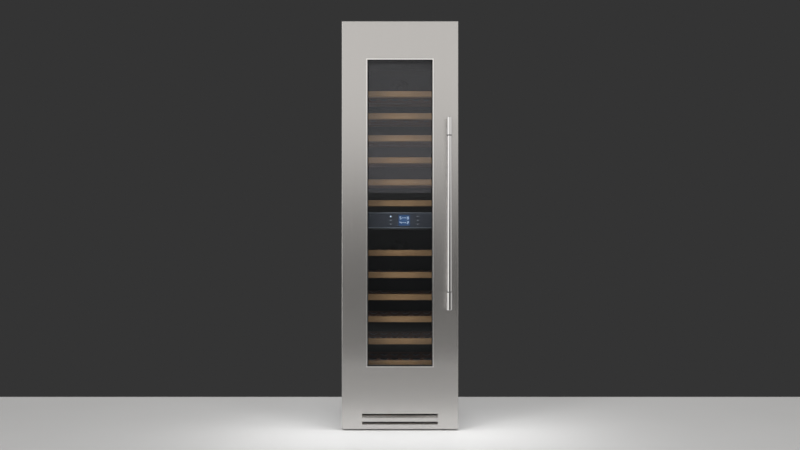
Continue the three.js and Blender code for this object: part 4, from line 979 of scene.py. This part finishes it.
def figure_bars(character, x, z, width, height, stroke):
    """Outlines in X and Z of a seven-bar figure's lit bars: each is a bar with pointed ends."""
    h = height / 2
    ends = np.array([
        [[0, 2 * h], [width, 2 * h]], [[width, 2 * h], [width, h]], [[width, h], [width, 0]],
        [[0, 0], [width, 0]], [[0, 0], [0, h]], [[0, h], [0, 2 * h]], [[0, h], [width, h]],
    ])
    lit = np.array([bit == "1" for bit in SEGMENTS[character]])
    a, b = ends[lit, 0], ends[lit, 1]
    along = (b - a) / np.linalg.norm(b - a, axis=1, keepdims=True)
    across = np.stack([-along[:, 1], along[:, 0]], 1) * stroke / 2
    a, b = a + along * stroke * 0.15, b - along * stroke * 0.15
    tip = along * stroke / 2
    outlines = np.stack([a, a + tip - across, b - tip - across, b, b - tip + across, a + tip + across], 1)
    return list(outlines + np.array([x, z]))


def disc_outline(x, z, radius):
    """A disc as sixteen points (x, z)."""
    return circle(16, radius) + np.array([x, z])


def bar_outline(x, z, width, height):
    """A bar's corners (x, z), from its lower left one."""
    return np.array([x, z]) + np.array([[0, 0], [width, 0], [width, height], [0, height]])


def make_fascia():
    """Face plate with openings for the screen and keys, and its bright top and bottom lines."""
    low, high = node_box("control_fascia")
    outline, y = face_of("control_fascia"), low[1]
    opening = around(middle_of("display_module"), *SCREEN_HALF) + FIT * GROW
    holes = [around(middle_of(f"key_{side}_{row}"), *KEY_HALF) + FIT * GROW for side, row in KEYS]
    plate = folded_sheet(outline, [opening + BEZEL[0] * GROW, *holes], y, FASCIA_SHEET, high[1] - y)
    bezel = slot_lining(opening, y, *BEZEL, 0.0)
    rims = [nested_rings([hole, hole], [y, y + KEY_RIM]) for hole in holes]
    make_piece("fascia", gather(plate, bezel, *rims), "fascia", "root", replaces=["control_fascia"],
               wall=FASCIA_SHEET)
    line = sizes().fascia_line
    lines = [((outline[0], y - 0.0007, z), (outline[1], y - 0.0001, z + line))
             for z in (outline[2], outline[3] - line)]
    make_piece("fascia_lines", soft_blocks(lines, 0.0002, axis=0), "fascia_edge", "root")


def make_screen():
    """Backlit block with its lit figures and dashes."""
    middle, y = middle_of("display_module"), node_box("display_module")[0][1]
    x0, x1, z0, z1 = around(middle, *SCREEN_HALF)
    body = soft_block((x0, y, z0), (x1, y + SCREEN_DEPTH, z1), 0.0004)
    make_piece("screen", body, "display", "root", replaces=["display_module"])
    marks = []
    for rise, text in READINGS:
        z = middle[2] + rise
        for x, character in zip(FIGURE_STARTS, text):
            marks += figure_bars(character, middle[0] + x, z, 0.0080, 0.0120, 0.0020)
        marks += [bar_outline(middle[0] + x, z + 0.0050, 0.0060, 0.0030) for x in DASH_STARTS]
    lit = soft_slabs(marks, y - 0.00025, y - MARK_GAP, 0.00005)
    make_piece("screen_figures", lit, "digits", "root")


def key_mark(row, x, z):
    """Outlines of a key's mark: a round dot between two bars, or an arrow up or down."""
    if row == "top":
        return [disc_outline(x, z, 0.0026)] + [bar_outline(x + start, z - 0.0009, 0.0035, 0.0018)
                                              for start in (-0.0075, 0.0040)]
    way = 1 if row == "middle" else -1
    arrow = np.array([[-0.0055, -0.0018 * way], [0.0055, -0.0018 * way], [0.0, 0.0028 * way]])
    return [arrow + np.array([x, z])]


def make_key(side, row):
    """Cap on a short stem, with its mark; the top left one is lit."""
    node = f"key_{side}_{row}"
    low, high = node_box(node)
    middle, y = middle_of(node), low[1]
    x, z = middle[0], middle[2]
    x0, x1, z0, z1 = around(middle, *KEY_HALF)
    cap = soft_block((x0, y, z0), (x1, y + KEY_CAP, z1), sizes().key_edge, corner=0.002, steps=3)
    base = y + KEY_CAP - MM
    stem = turned([(0, base), (0.002, base), (0.002, high[1]), (0, high[1])], (x, 0, z), 1, 12)
    make_piece(f"{node}_cap", gather(cap, stem), "key_plastic", node, replaces=[node])
    lit = (side, row) == ("left", "top")
    marks = [disc_outline(x, z, 0.0042)] if lit else key_mark(row, x, z)
    make_piece(f"{node}_mark", soft_slabs(marks, y - 0.0002, y - MARK_GAP, 0.00004),
               "digits" if lit else "key_marks", node)


def make_panel():
    """Face plate, screen and keys, and the finishes of what is behind them."""
    make_fascia()
    make_screen()
    for side, row in KEYS:
        make_key(side, row)
    repaint("circuit_board", "control_board")
    repaint("liner", "control_housing")


# ---------------------------------------------------------------- air ducts and fans

FAN_BLADES = 7
HUB = 0.33  # of the fan's radius
BLADE_GAP = 0.0004
GUARD_RINGS = 5
HOOD_ROWS = (3, 0.058, 0.030)  # rows of hoods, first height and pitch
HOOD_PLACE = (0.105, 0.075)  # middle from the cover's side, and half length


def fan_blades(middle, hub, tip, thickness):
    """Curved blades about the Y axis through middle, as closed loops joined along the radius.

    At share t of the radius a blade turns forward by 0.5 t t, is (1.0 - 0.35 t) of its pitch wide, and
    climbs from the front to the back of the rotor; the loop's two sides are 0.9 mm apart."""
    pitch = 2 * math.pi / FAN_BLADES
    t = np.linspace(0, 1, 7)[:, None]
    s = np.r_[np.linspace(0, 1, 7), np.linspace(1, 0, 7)][None, :]
    side = np.r_[np.full(7, -1.0), np.full(7, 1.0)][None, :]
    radius = hub * 0.96 + t * (tip - hub * 0.96)
    angle = 0.5 * t**2 + (s - 0.5) * (1.0 - 0.35 * t) * pitch * 0.9
    rise = (thickness - 0.0022) * (s - 0.5) * (1 - 0.3 * t) + 0.0010 * np.sin(math.pi * s)
    wall = 0.00045 * side * np.sin(math.pi * np.clip(s, 0.06, 0.94)) ** 0.5
    blades = []
    for turn in angle + np.arange(FAN_BLADES)[:, None, None] * pitch:
        ring = np.stack([radius * np.cos(turn), rise + wall, radius * np.sin(turn)], -1)
        blades.append(loft(ring + middle, caps=True))
    return gather(*blades)


def make_fan(node):
    """Hub, open at the back, with its blades."""
    low, high = node_box(node)
    middle, tip, thickness = (low + high) / 2, (high[0] - low[0]) / 2, high[1] - low[1]
    hub, h = tip * HUB, thickness / 2
    cap = softened([(0, -h), (hub * 0.9, -h), (hub, -h * 0.8), (hub, h), (hub * 0.85, h),
                    (hub * 0.8, h * 0.2), (0, h * 0.2)], 0.0015)
    rotor = gather(turned(cap, middle, 1, 32), fan_blades(middle, hub, tip - BLADE_GAP, thickness))
    make_piece(f"{node}_rotor", rotor, "fan_plastic", node, replaces=[node])


def fan_guard(centre, radius, y):
    """Rings and four spokes of round wire in front of a fan."""
    wire = sizes().guard_wire
    rings = [tube(in_space(circle(40, r), 0.0, 1) + [centre[0], y, centre[2]], wire / 2, 6, True, (0, 1, 0))
             for r in np.linspace(radius * 0.28, radius, GUARD_RINGS)]
    angle = math.pi / 4 + np.arange(4) * math.pi / 2
    ways = np.stack([np.cos(angle), np.zeros(4), np.sin(angle)], -1)
    back = np.array([centre[0], y + wire, centre[2]])
    spokes = [tube(back + np.outer([radius * 0.2, radius * 1.04], way), wire / 2, 6, up=(0, 1, 0))
              for way in ways]
    return gather(*rings, *spokes)


def make_ducts():
    """Each zone's duct cover: guard, air hoods and screws in front of it, and the fan behind."""
    for zone in ZONES:
        cover, fan = f"{zone}_duct_cover", f"{zone}_fan"
        low, high = node_box(cover)
        y, half = low[1], high[0]
        fan_low, fan_high = node_box(fan)
        guard = fan_guard(middle_of(fan), (fan_high[0] - fan_low[0]) / 2 + 0.004, y - 0.0032)
        make_piece(f"{zone}_fan_guard", guard, "rack_paint", "root")
        rows, first, pitch = HOOD_ROWS
        hoods = []
        for x in (HOOD_PLACE[0] - half, half - HOOD_PLACE[0]):
            for z in low[2] + first + pitch * np.arange(rows):
                hoods.append(((x - HOOD_PLACE[1], y - 0.004, z + 0.0062),
                              (x + HOOD_PLACE[1], y - FIT, z + 0.0085)))
        make_piece(f"{zone}_duct_hoods", soft_blocks(hoods, 0.0009, axis=0), "liner", "root")
        screws = [screw_head((x, y - 0.0001, z), 0.0038) for x in (0.018 - half, half - 0.018)
                  for z in (low[2] + 0.02, (low[2] + high[2]) / 2, high[2] - 0.02)]
        make_piece(f"{zone}_duct_screws", gather(*screws), "coil", "root")
        make_fan(fan)
        repaint("liner", cover, f"{zone}_liner")
        repaint("coil", f"{zone}_evaporator")
        repaint("lamp", f"{zone}_light")
        repaint("rack_paint", f"{zone}_rack")


# ---------------------------------------------------------------- machine compartment

POT_RADIUS = 0.062
POT_RISE = 0.014  # from the mounts' feet to the base plate
MOUNT_INSET = 0.014
CONDENSER_FINS = 48
FIN_HALF = 0.00022  # half of a fin's thickness
END_HALF = 0.0008  # half of an end plate's thickness
TUBE_ROWS = 6
CONDENSER_GUARD_RADIUS = 0.0715


def make_compressor():
    """Welded pot on a base plate, with its relay box, on four rubber mounts."""
    low, high = node_box("compressor")
    x, y, _ = middle_of("compressor")
    base = low[2] + POT_RISE
    radius, tall = POT_RADIUS, high[2] - base - MM
    wall = [(0.0, 0.0), (0.72, 0.0), (0.92, 0.05), (1.0, 0.16), (1.0, 0.485), (1.035, 0.49), (1.035, 0.55),
            (1.0, 0.555), (1.0, 0.74), (0.96, 0.84), (0.84, 0.93), (0.6, 0.98), (0.3, 0.998), (0.0, 1.0)]
    profile = np.array(wall) * [radius, tall] + [0, base + MM]
    pot = turned(softened(profile, 0.006), (x, y, 0), sides=56)
    plate = soft_block((*low[:2], base), (*high[:2], base + 0.003), 0.001, axis=2, corner=0.012)
    box = soft_block((x - 0.026, y - radius - 0.014, base + tall * 0.42),
                     (x + 0.026, y - radius + 0.012, base + tall * 0.78), 0.003, corner=0.006)
    make_piece("compressor_pot", gather(pot, plate, box), "compressor_enamel", "root",
               replaces=["compressor"])
    ribs = [(0.0, 0.0), (0.010, 0.0), (0.011, 0.002), (0.0095, 0.0045), (0.011, 0.007), (0.0095, 0.0095),
            (0.011, 0.0125), (0.009, 0.0138), (0.009, 0.0172), (0.004, 0.0195), (0.0, 0.0197)]
    mounts = [turned(np.array(ribs) + [0, low[2]], (mx, my, 0), sides=24)
              for mx in (low[0] + MOUNT_INSET, high[0] - MOUNT_INSET)
              for my in (low[1] + MOUNT_INSET, high[1] - MOUNT_INSET)]
    make_piece("compressor_mounts", gather(*mounts), "foot_plastic", "root")


def serpentine(low, high, y, rows, radius):
    """One tube that runs to and fro across the fins: straight runs joined by half circles at both sides."""
    z = np.linspace(low[2] + 0.012, high[2] - 0.012, rows)
    bend = (z[1] - z[0]) / 2
    t = np.linspace(-math.pi / 2, math.pi / 2, 9)
    left, right = low[0] + radius, high[0] - radius
    path = [[[left, y, z[0]]]]
    for k, middle in enumerate((z[:-1] + z[1:]) / 2):
        x, way = (left, -1) if k % 2 else (right, 1)
        turn = [x + way * bend * (np.cos(t) - 1), np.full(len(t), y), middle + bend * np.sin(t)]
        path.append(np.stack(turn, -1))
    return np.concatenate([*path, [[right if rows % 2 else left, y, z[-1]]]])


def make_condenser():
    """Fins with their end plates and two layers of tube."""
    low, high = node_box("condenser")
    depths = np.array([[low[2]], [high[2]]])
    sheets = []
    for x in np.linspace(low[0] + 0.014, high[0] - 0.014, CONDENSER_FINS):
        fin = bar_outline(x - FIN_HALF, low[1] + MM, 2 * FIN_HALF, high[1] - low[1] - MM)
        sheets.append(loft(in_space(fin[None], depths, 2), caps=True))
    ends = soft_blocks([((x - END_HALF, low[1] - MM, low[2]), (x + END_HALF, high[1], high[2]))
                        for x in (low[0] + 0.010, high[0] - 0.010)], 0.0003)
    runs = [tube(serpentine(low, high, y, TUBE_ROWS, 0.003), 0.0029, 8, up=(0, 1, 0))
            for y in (low[1] + 0.014, high[1] - 0.014)]
    make_piece("condenser_fins", gather(*sheets, ends), "coil", "root", replaces=["condenser"])
    make_piece("condenser_tubes", gather(*runs), "copper", "root")


def make_pipe():
    """Discharge pipe: one smooth bend from the compressor up and down again to the condenser."""
    (x0, y0, _), (x1, y1, top) = node_box("discharge_pipe")
    y0, y1, start = y0 + 0.004, y1 - 0.004, top - 0.032
    places = [(x0, y0, start), (x0 + 0.022, y0, start), (x0 + 0.045, y0 + 0.025, start + 0.013),
              (x0 + 0.050, y0 + 0.060, top - 0.004), (x1 - 0.030, y1 - 0.020, top - 0.008),
              (x1 - 0.014, y1, start + 0.006), (x1, y1, start)]
    make_piece("pipe", tube(smooth_path(places, 70), 0.0035, 12), "copper", "root",
               replaces=["discharge_pipe"])


def make_machine():
    """Everything in the base, and the finishes of the pieces that stay as they are."""
    make_compressor()
    make_condenser()
    make_pipe()
    make_fan("condenser_fan")
    front = node_box("fan_bracket")[0][1]
    guard = fan_guard(middle_of("condenser_fan"), CONDENSER_GUARD_RADIUS, front - 0.003)
    make_piece("condenser_fan_guard", guard, "galvanised_steel", "root")
    repaint("galvanised_steel", "fan_bracket", "base_pan")
    repaint("plastic", "drip_tray", "terminal_box")


# ---------------------------------------------------------------- cabinet

CASING_BEND = 0.004
CASING_FOLD = 0.0015
CASING_SHEET = 0.0012
REAR_SHEET = 0.0008
REAR_FOLD = 0.001
BACK_SLOTS = (6, 0.006, 0.020, 0.075)  # rows, height, pitch and bottom
BACK_SLOT_HALF = 0.075
BACK_SLOT_DEPTH = 0.007
INLET_LAP = 0.005  # how far the rear panel reaches over the inlet's rim
FLAT_HEAD = 0.5  # of a pan head's height
NUT = (0.0105, 0.0081, 0.0138)  # radius, bottom and top
THREAD_START = 0.0142
THREAD_PITCH = 0.0015
THREAD_RADII = (0.005, 0.0043)  # crest and root


def casing_arch(outline, bend, steps=6):
    """Up one side, across the top and down the other, as points (x, z) with their outward normals."""
    x0, x1, z0, z1 = outline
    u, v = np.cos(quarter(steps)), np.sin(quarter(steps))
    right = np.stack([x1 - bend + bend * u, z1 - bend + bend * v], -1)
    left = np.stack([x0 + bend - bend * v, z1 - bend + bend * u], -1)
    points = np.concatenate([[[x1, z0]], right, left, [[x0, z0]]])
    normals = np.concatenate([[[1, 0]], np.stack([u, v], -1), np.stack([-v, u], -1), [[-1, 0]]])
    return points, normals


def make_casing():
    """Painted sheet over the sides and the top, with a rounded front edge."""
    low, high = node_box("outer_casing")
    points, normals = casing_arch(face_of("outer_casing"), CASING_BEND)
    t = quarter(3)
    inward = np.r_[CASING_FOLD * (1 - np.sin(t[:-1])), 0.0, 0.0]
    y = np.r_[low[1] + CASING_FOLD * (1 - np.cos(t[:-1])), low[1] + CASING_FOLD, high[1]]
    flat = points[None] - inward[:, None, None] * normals[None]
    make_piece("casing", loft(in_space(flat, y[:, None], 1), closed_ring=False), "painted_steel", "root",
               replaces=["outer_casing"], wall=CASING_SHEET)


def make_rear():
    """Rear panel with its air slots, the opening for the mains inlet, and its screws."""
    outline = face_of("back_panel")
    y = node_box("outer_casing")[1][1] - 0.0009
    rows, height, pitch, bottom = BACK_SLOTS
    slots = [np.array([x - BACK_SLOT_HALF, x + BACK_SLOT_HALF, z, z + height])
             for x in (-0.15, 0.15) for z in bottom + pitch * np.arange(rows)]
    inlet = face_of("terminal_box") + (FIT - INLET_LAP) * GROW
    sheet = folded_sheet(outline, [slot + REAR_FOLD * GROW for slot in slots] + [inlet], y, REAR_FOLD, 0.004,
                         into=-1.0)
    linings = [slot_lining(slot, y, REAR_FOLD, BACK_SLOT_DEPTH, height * 0.4, into=-1.0) for slot in slots]
    make_piece("rear_panel", gather(sheet, *linings), "galvanised_steel", "root", replaces=["back_panel"],
               wall=REAR_SHEET)
    top = outline[3] - 0.02
    places = [(x, z) for x in (outline[0] + 0.012, outline[1] - 0.012)
              for z in np.linspace(outline[2] + 0.02, top, 9)] + [(-0.1, top), (0.1, top)]
    screws = [screw_head((x, y, z), 0.0036, out=FLAT_HEAD) for x, z in places]
    make_piece("rear_screws", gather(*screws), "coil", "root")


def make_side_screws():
    """Two upright rows on each side of the casing, one near the front and one near the back."""
    low, high = node_box("outer_casing")
    screws = [screw_head((side * (high[0] - 0.0002), depth, height), 0.0042, 0, side)
              for side in (-1, 1) for depth in (low[1] + 0.03, high[1] - 0.02)
              for height in np.linspace(low[2] + 0.05, high[2] - 0.06, 6)]
    make_piece("casing_screws", gather(*screws), "coil", "root")


def make_foot(node):
    """Levelling foot: a ribbed pad, a six-sided nut and a threaded stem."""
    high = node_box(node)[1]
    x, y, _ = middle_of(node)
    pad = [(0, 0), (0.019, 0), (0.0215, 0.0012), (0.022, 0.003), (0.0215, 0.0048), (0.017, 0.0068),
           (0.012, 0.008), (0, 0.008)]
    make_piece(f"{node}_pad", turned(softened(pad, 0.0006), (x, y, 0), sides=40), "foot_plastic", node,
               replaces=[node])
    turns = np.arange(THREAD_START, high[2] - MM, THREAD_PITCH / 2)
    ridge = np.where(np.arange(len(turns)) % 2 == 0, *THREAD_RADII)
    thread = np.concatenate([[[0, NUT[2]]], np.stack([ridge, turns], -1), [[0, high[2]]]])
    nut = soft_slab(circle(6, NUT[0]) + np.array([x, y]), NUT[1], NUT[2], 0.0007, axis=2)
    make_piece(f"{node}_stem", gather(nut, turned(thread, (x, y, 0), sides=20)), "galvanised_steel", node)


def make_cabinet():
    """Casing, rear panel, screws, feet, and the finishes of the hinges and the foam."""
    make_casing()
    make_rear()
    make_side_screws()
    low, high = node_box("top_hinge")
    screws = [screw_head((low[0] + dx, high[1] - dy, high[2]), 0.004, 2, 1.0)
              for dx in (0.018, 0.055) for dy in (0.014, 0.042)]
    make_piece("hinge_screws", gather(*screws), "coil", "root")
    for corner in FEET:
        make_foot(f"foot_{corner}")
    repaint("foam", "insulation_foam")
    repaint("galvanised_steel", "top_hinge", "bottom_hinge")


# ---------------------------------------------------------------- studio

FLOOR_HALF = 6.0
FLOOR_FRONT, FLOOR_BACK = -2.6, 0.6
FLOOR_TONES = ((0.44, 0.44, 0.44), (0.47, 0.47, 0.47))
WINDOW_CARDS = (("window_card", 1.72, 0.62, 2.2), ("upper_window_card", 2.47, 0.88, 1.9))  # z, height, power
CARD_COLOUR = (1.0, 0.93, 0.99)
CAMERA_DISTANCE = 4.5
CAMERA_HEIGHT = 1.0712
CAMERA_LENS = 38.84
BACKDROP = (0.0343, 0.0343, 0.0345)
SKY_WARMTH = (1.0, 0.985, 0.965)
SKY = (  # sine of the height above the horizon, and brightness
    (-0.30, 0.18), (-0.16, 0.20), (-0.142, 0.14), (-0.128, 0.56), (-0.114, 0.08), (-0.06, 0.12),
    (-0.03, 0.175), (0.0, 0.235), (0.02, 0.27), (0.05, 0.55), (0.08, 0.73), (0.13, 0.85), (0.30, 0.85),
    (0.50, 0.35),
)
SIDE_SKY = (  # degrees to the right of the camera, and brightness
    (-180, 0.45), (-125, 0.35), (-85, 0.25), (-66, 0.3), (-56, 1.9), (-36, 1.9), (-24, 0.3), (62, 0.2),
    (74, 0.85), (95, 0.75), (115, 0.45), (180, 0.45),
)
SIDES = (-36.0, -24.0, 62.0, 74.0)  # where the left side's sky fades out and the right side's fades in
SKY_FOOT = (-0.35, -0.30)  # where the side skies fade in from below


def sky_ramp(t, value, stops, interpolation):
    """Warm grey along a value, by (value, brightness) stops."""
    low, high = stops[0][0], stops[-1][0]
    ramp = t.add("ValToRGB", {0: t.span(value, low, high)})
    ramp.color_ramp.interpolation = interpolation
    elements = ramp.color_ramp.elements
    while len(elements) < len(stops):
        elements.new(0.5)
    for element, (place, _) in zip(elements, stops):
        element.position = (place - low) / (high - low)
    for element, (_, bright) in zip(elements, stops):
        element.color = (*(bright * part for part in SKY_WARMTH), 1.0)
    return ramp.outputs[0]


def make_sky():
    """World: flat dark backdrop for the camera, soft light by height in front, and light boxes beside it."""
    world = bpy.data.worlds.new("studio")
    bpy.context.scene.world = world
    world.use_nodes = True
    world.node_tree.nodes.clear()
    t = Tree(world.node_tree)
    x, y, z = t.add("SeparateXYZ", {0: t.add("TexCoord").outputs["Generated"]}).outputs
    front = sky_ramp(t, z, SKY, "B_SPLINE")
    bearing = t.maths("DEGREES", t.maths("ARCTAN2", x, t.maths("MULTIPLY", y, -1.0)))
    sides = sky_ramp(t, bearing, SIDE_SKY, "LINEAR")
    left = t.span(bearing, *SIDES[:2], 1.0, 0.0)
    right = t.span(bearing, *SIDES[2:])
    share = t.maths("MULTIPLY", t.maths("ADD", left, right), t.span(z, *SKY_FOOT))
    light = t.add("Background", {"Color": t.blend(share, front, sides), "Strength": 1.0})
    back = t.add("Background", {"Color": (*BACKDROP, 1.0), "Strength": 1.0})
    path = t.add("LightPath").outputs
    bounced = t.maths("ADD", path["Glossy Depth"], path["Diffuse Depth"])
    through = t.maths("MULTIPLY", path["Is Transmission Ray"], t.maths("LESS_THAN", bounced, 0.5))
    seen = t.maths("MAXIMUM", path["Is Camera Ray"], through)
    mixed = t.add("MixShader", {0: seen, 1: light.outputs[0], 2: back.outputs[0]})
    t.add("OutputWorld", {0: mixed.outputs[0]})


def add_light(name, place, target, width, height, power, white=(1.0, 1.0, 1.0), glossy=False):
    """Soft rectangular light that the camera doesn't see; only with glossy do surfaces mirror it."""
    data = bpy.data.lights.new(name, "AREA")
    data.shape, data.size, data.size_y = "RECTANGLE", width, height
    data.energy, data.color = power, white
    light = put_in(name, data)
    light.location = place
    aim = np.asarray(target, float) - np.asarray(place, float)
    light.rotation_euler = Vector(aim).to_track_quat("-Z", "Y").to_euler()
    light.visible_camera = False
    light.visible_glossy = light.visible_transmission = glossy
    return light


def light_only(light, thing):
    """Lets a light fall on one object alone."""
    receivers = bpy.data.collections.new(f"{light.name}_receivers")
    receivers.objects.link(thing)
    light.light_linking.receiver_collection = receivers


def make_floor():
    """Pale floor under the cooler and in front of it."""
    outline = [[-FLOOR_HALF, FLOOR_FRONT], [FLOOR_HALF, FLOOR_FRONT], [FLOOR_HALF, FLOOR_BACK],
               [-FLOOR_HALF, FLOOR_BACK]]
    mesh = bpy.data.meshes.new("floor")
    mesh.from_pydata([(x, y, -0.0004) for x, y in outline], [], [[0, 1, 2, 3]])
    material, t = new_material("floor")
    tone = t.noise(t.place(), 1.5, 3.0)
    t.finish({"Base Color": t.blend(tone, *FLOOR_TONES), "Roughness": 0.7, "Specular IOR Level": 0.2})
    mesh.materials.append(material)
    floor = put_in("floor", mesh)
    return floor


def make_camera():
    """Camera square to the front."""
    data = bpy.data.cameras.new("camera")
    data.lens, data.sensor_width = CAMERA_LENS, 36.0
    camera = put_in("camera", data)
    camera.location = (0.0, node_box("door_panel")[0][1] - CAMERA_DISTANCE, CAMERA_HEIGHT)
    camera.rotation_euler = (math.pi / 2, 0.0, 0.0)
    bpy.context.scene.camera = camera


def make_stage():
    """Floor, backdrop, lights and camera."""
    floor = make_floor()
    make_sky()
    for name, x in (("key_left", -3.2), ("key_right", 3.2)):
        add_light(name, (x, -3.4, 2.3), (0.0, -0.2, 1.0), 1.2, 1.8, 66.0)
    add_light("rear", (0.0, 3.5, 2.6), (0.0, 0.3, 1.0), 2.5, 1.5, 60.0)
    light_only(add_light("floor_light", (0.0, -0.34, 0.7), (0.0, -0.34, 0.0), 1.4, 0.3, 11.0), floor)
    for name, z, height, power in WINDOW_CARDS:
        card = add_light(name, (0.0, -4.86, z), (0.0, 0.0, z), 1.4, height, power, CARD_COLOUR, True)
        card.visible_diffuse = False
        light_only(card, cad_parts["outer_glass"])
    make_camera()
    bpy.context.scene.view_settings.view_transform = "Standard"


# ---------------------------------------------------------------- operators and panel


class MakeStage(bpy.types.Operator):
    """Floor, soft lights, backdrop and camera"""

    bl_idname = "cooler.stage"
    bl_label = "Stage"

    def execute(self, context):
        make_stage()
        return {"FINISHED"}


class MakeDoorSkin(bpy.types.Operator):
    """Folded stainless skin of the door, with its window opening and air slots"""

    bl_idname = "cooler.door_skin"
    bl_label = "Door skin"

    def execute(self, context):
        make_door_skin()
        return {"FINISHED"}


class MakeWindow(bpy.types.Operator):
    """Window frame, glass seal and the finishes of the panes and the door's inner frame"""

    bl_idname = "cooler.window"
    bl_label = "Window"

    def execute(self, context):
        make_window()
        return {"FINISHED"}


class MakeGasket(bpy.types.Operator):
    """Magnetic gasket on the door's inner face"""

    bl_idname = "cooler.gasket"
    bl_label = "Gasket"

    def execute(self, context):
        make_gasket()
        return {"FINISHED"}


class MakeHandle(bpy.types.Operator):
    """Handle bar with its turned grooves, and its two posts"""

    bl_idname = "cooler.handle"
    bl_label = "Handle"

    def execute(self, context):
        make_handle()
        return {"FINISHED"}


class MakeShelves(bpy.types.Operator):
    """Twelve wooden bottle shelves on steel runners"""

    bl_idname = "cooler.shelves"
    bl_label = "Shelves"

    def execute(self, context):
        make_shelves()
        return {"FINISHED"}


class MakePanel(bpy.types.Operator):
    """Control panel with its screen, figures and keys"""

    bl_idname = "cooler.control_panel"
    bl_label = "Control panel"

    def execute(self, context):
        make_panel()
        return {"FINISHED"}


class MakeDucts(bpy.types.Operator):
    """Fans, guards and hoods of both zones, and the finishes of their liners"""

    bl_idname = "cooler.ducts"
    bl_label = "Air ducts"

    def execute(self, context):
        make_ducts()
        return {"FINISHED"}


class MakeMachine(bpy.types.Operator):
    """Compressor, condenser, pipe and fan in the base"""

    bl_idname = "cooler.machine"
    bl_label = "Machine compartment"

    def execute(self, context):
        make_machine()
        return {"FINISHED"}


class MakeCabinet(bpy.types.Operator):
    """Casing, rear panel, hinges and feet"""

    bl_idname = "cooler.cabinet"
    bl_label = "Cabinet"

    def execute(self, context):
        make_cabinet()
        return {"FINISHED"}


STEPS = (MakeStage, MakeDoorSkin, MakeWindow, MakeGasket, MakeHandle, MakeShelves, MakePanel, MakeDucts,
         MakeMachine, MakeCabinet)


class CoolerPanel(bpy.types.Panel):
    """Lists the cooler's operators, sizes and colours"""

    bl_idname = "VIEW3D_PT_cooler"
    bl_label = "Wine Cooler"
    bl_space_type = "VIEW_3D"
    bl_region_type = "UI"
    bl_category = "Cooler"

    def draw(self, context):
        for step in STEPS:
            self.layout.operator(step.bl_idname)
        for group in (context.scene.cooler_sizes, context.scene.cooler_colours):
            box = self.layout.box()
            for key in group.__annotations__:
                box.prop(group, key)


CLASSES = (CoolerSizes, CoolerColours, *STEPS, CoolerPanel)


def register():
    for each in CLASSES:
        bpy.utils.register_class(each)
    bpy.types.Scene.cooler_sizes = PointerProperty(type=CoolerSizes)
    bpy.types.Scene.cooler_colours = PointerProperty(type=CoolerColours)


def unregister():
    del bpy.types.Scene.cooler_colours
    del bpy.types.Scene.cooler_sizes
    for each in reversed(CLASSES):
        bpy.utils.unregister_class(each)


def main():
    """Makes every piece in order."""
    register()
    for step in STEPS:
        group, name = step.bl_idname.split(".")
        getattr(getattr(bpy.ops, group), name)()


if __name__ == "__main__":
    main()
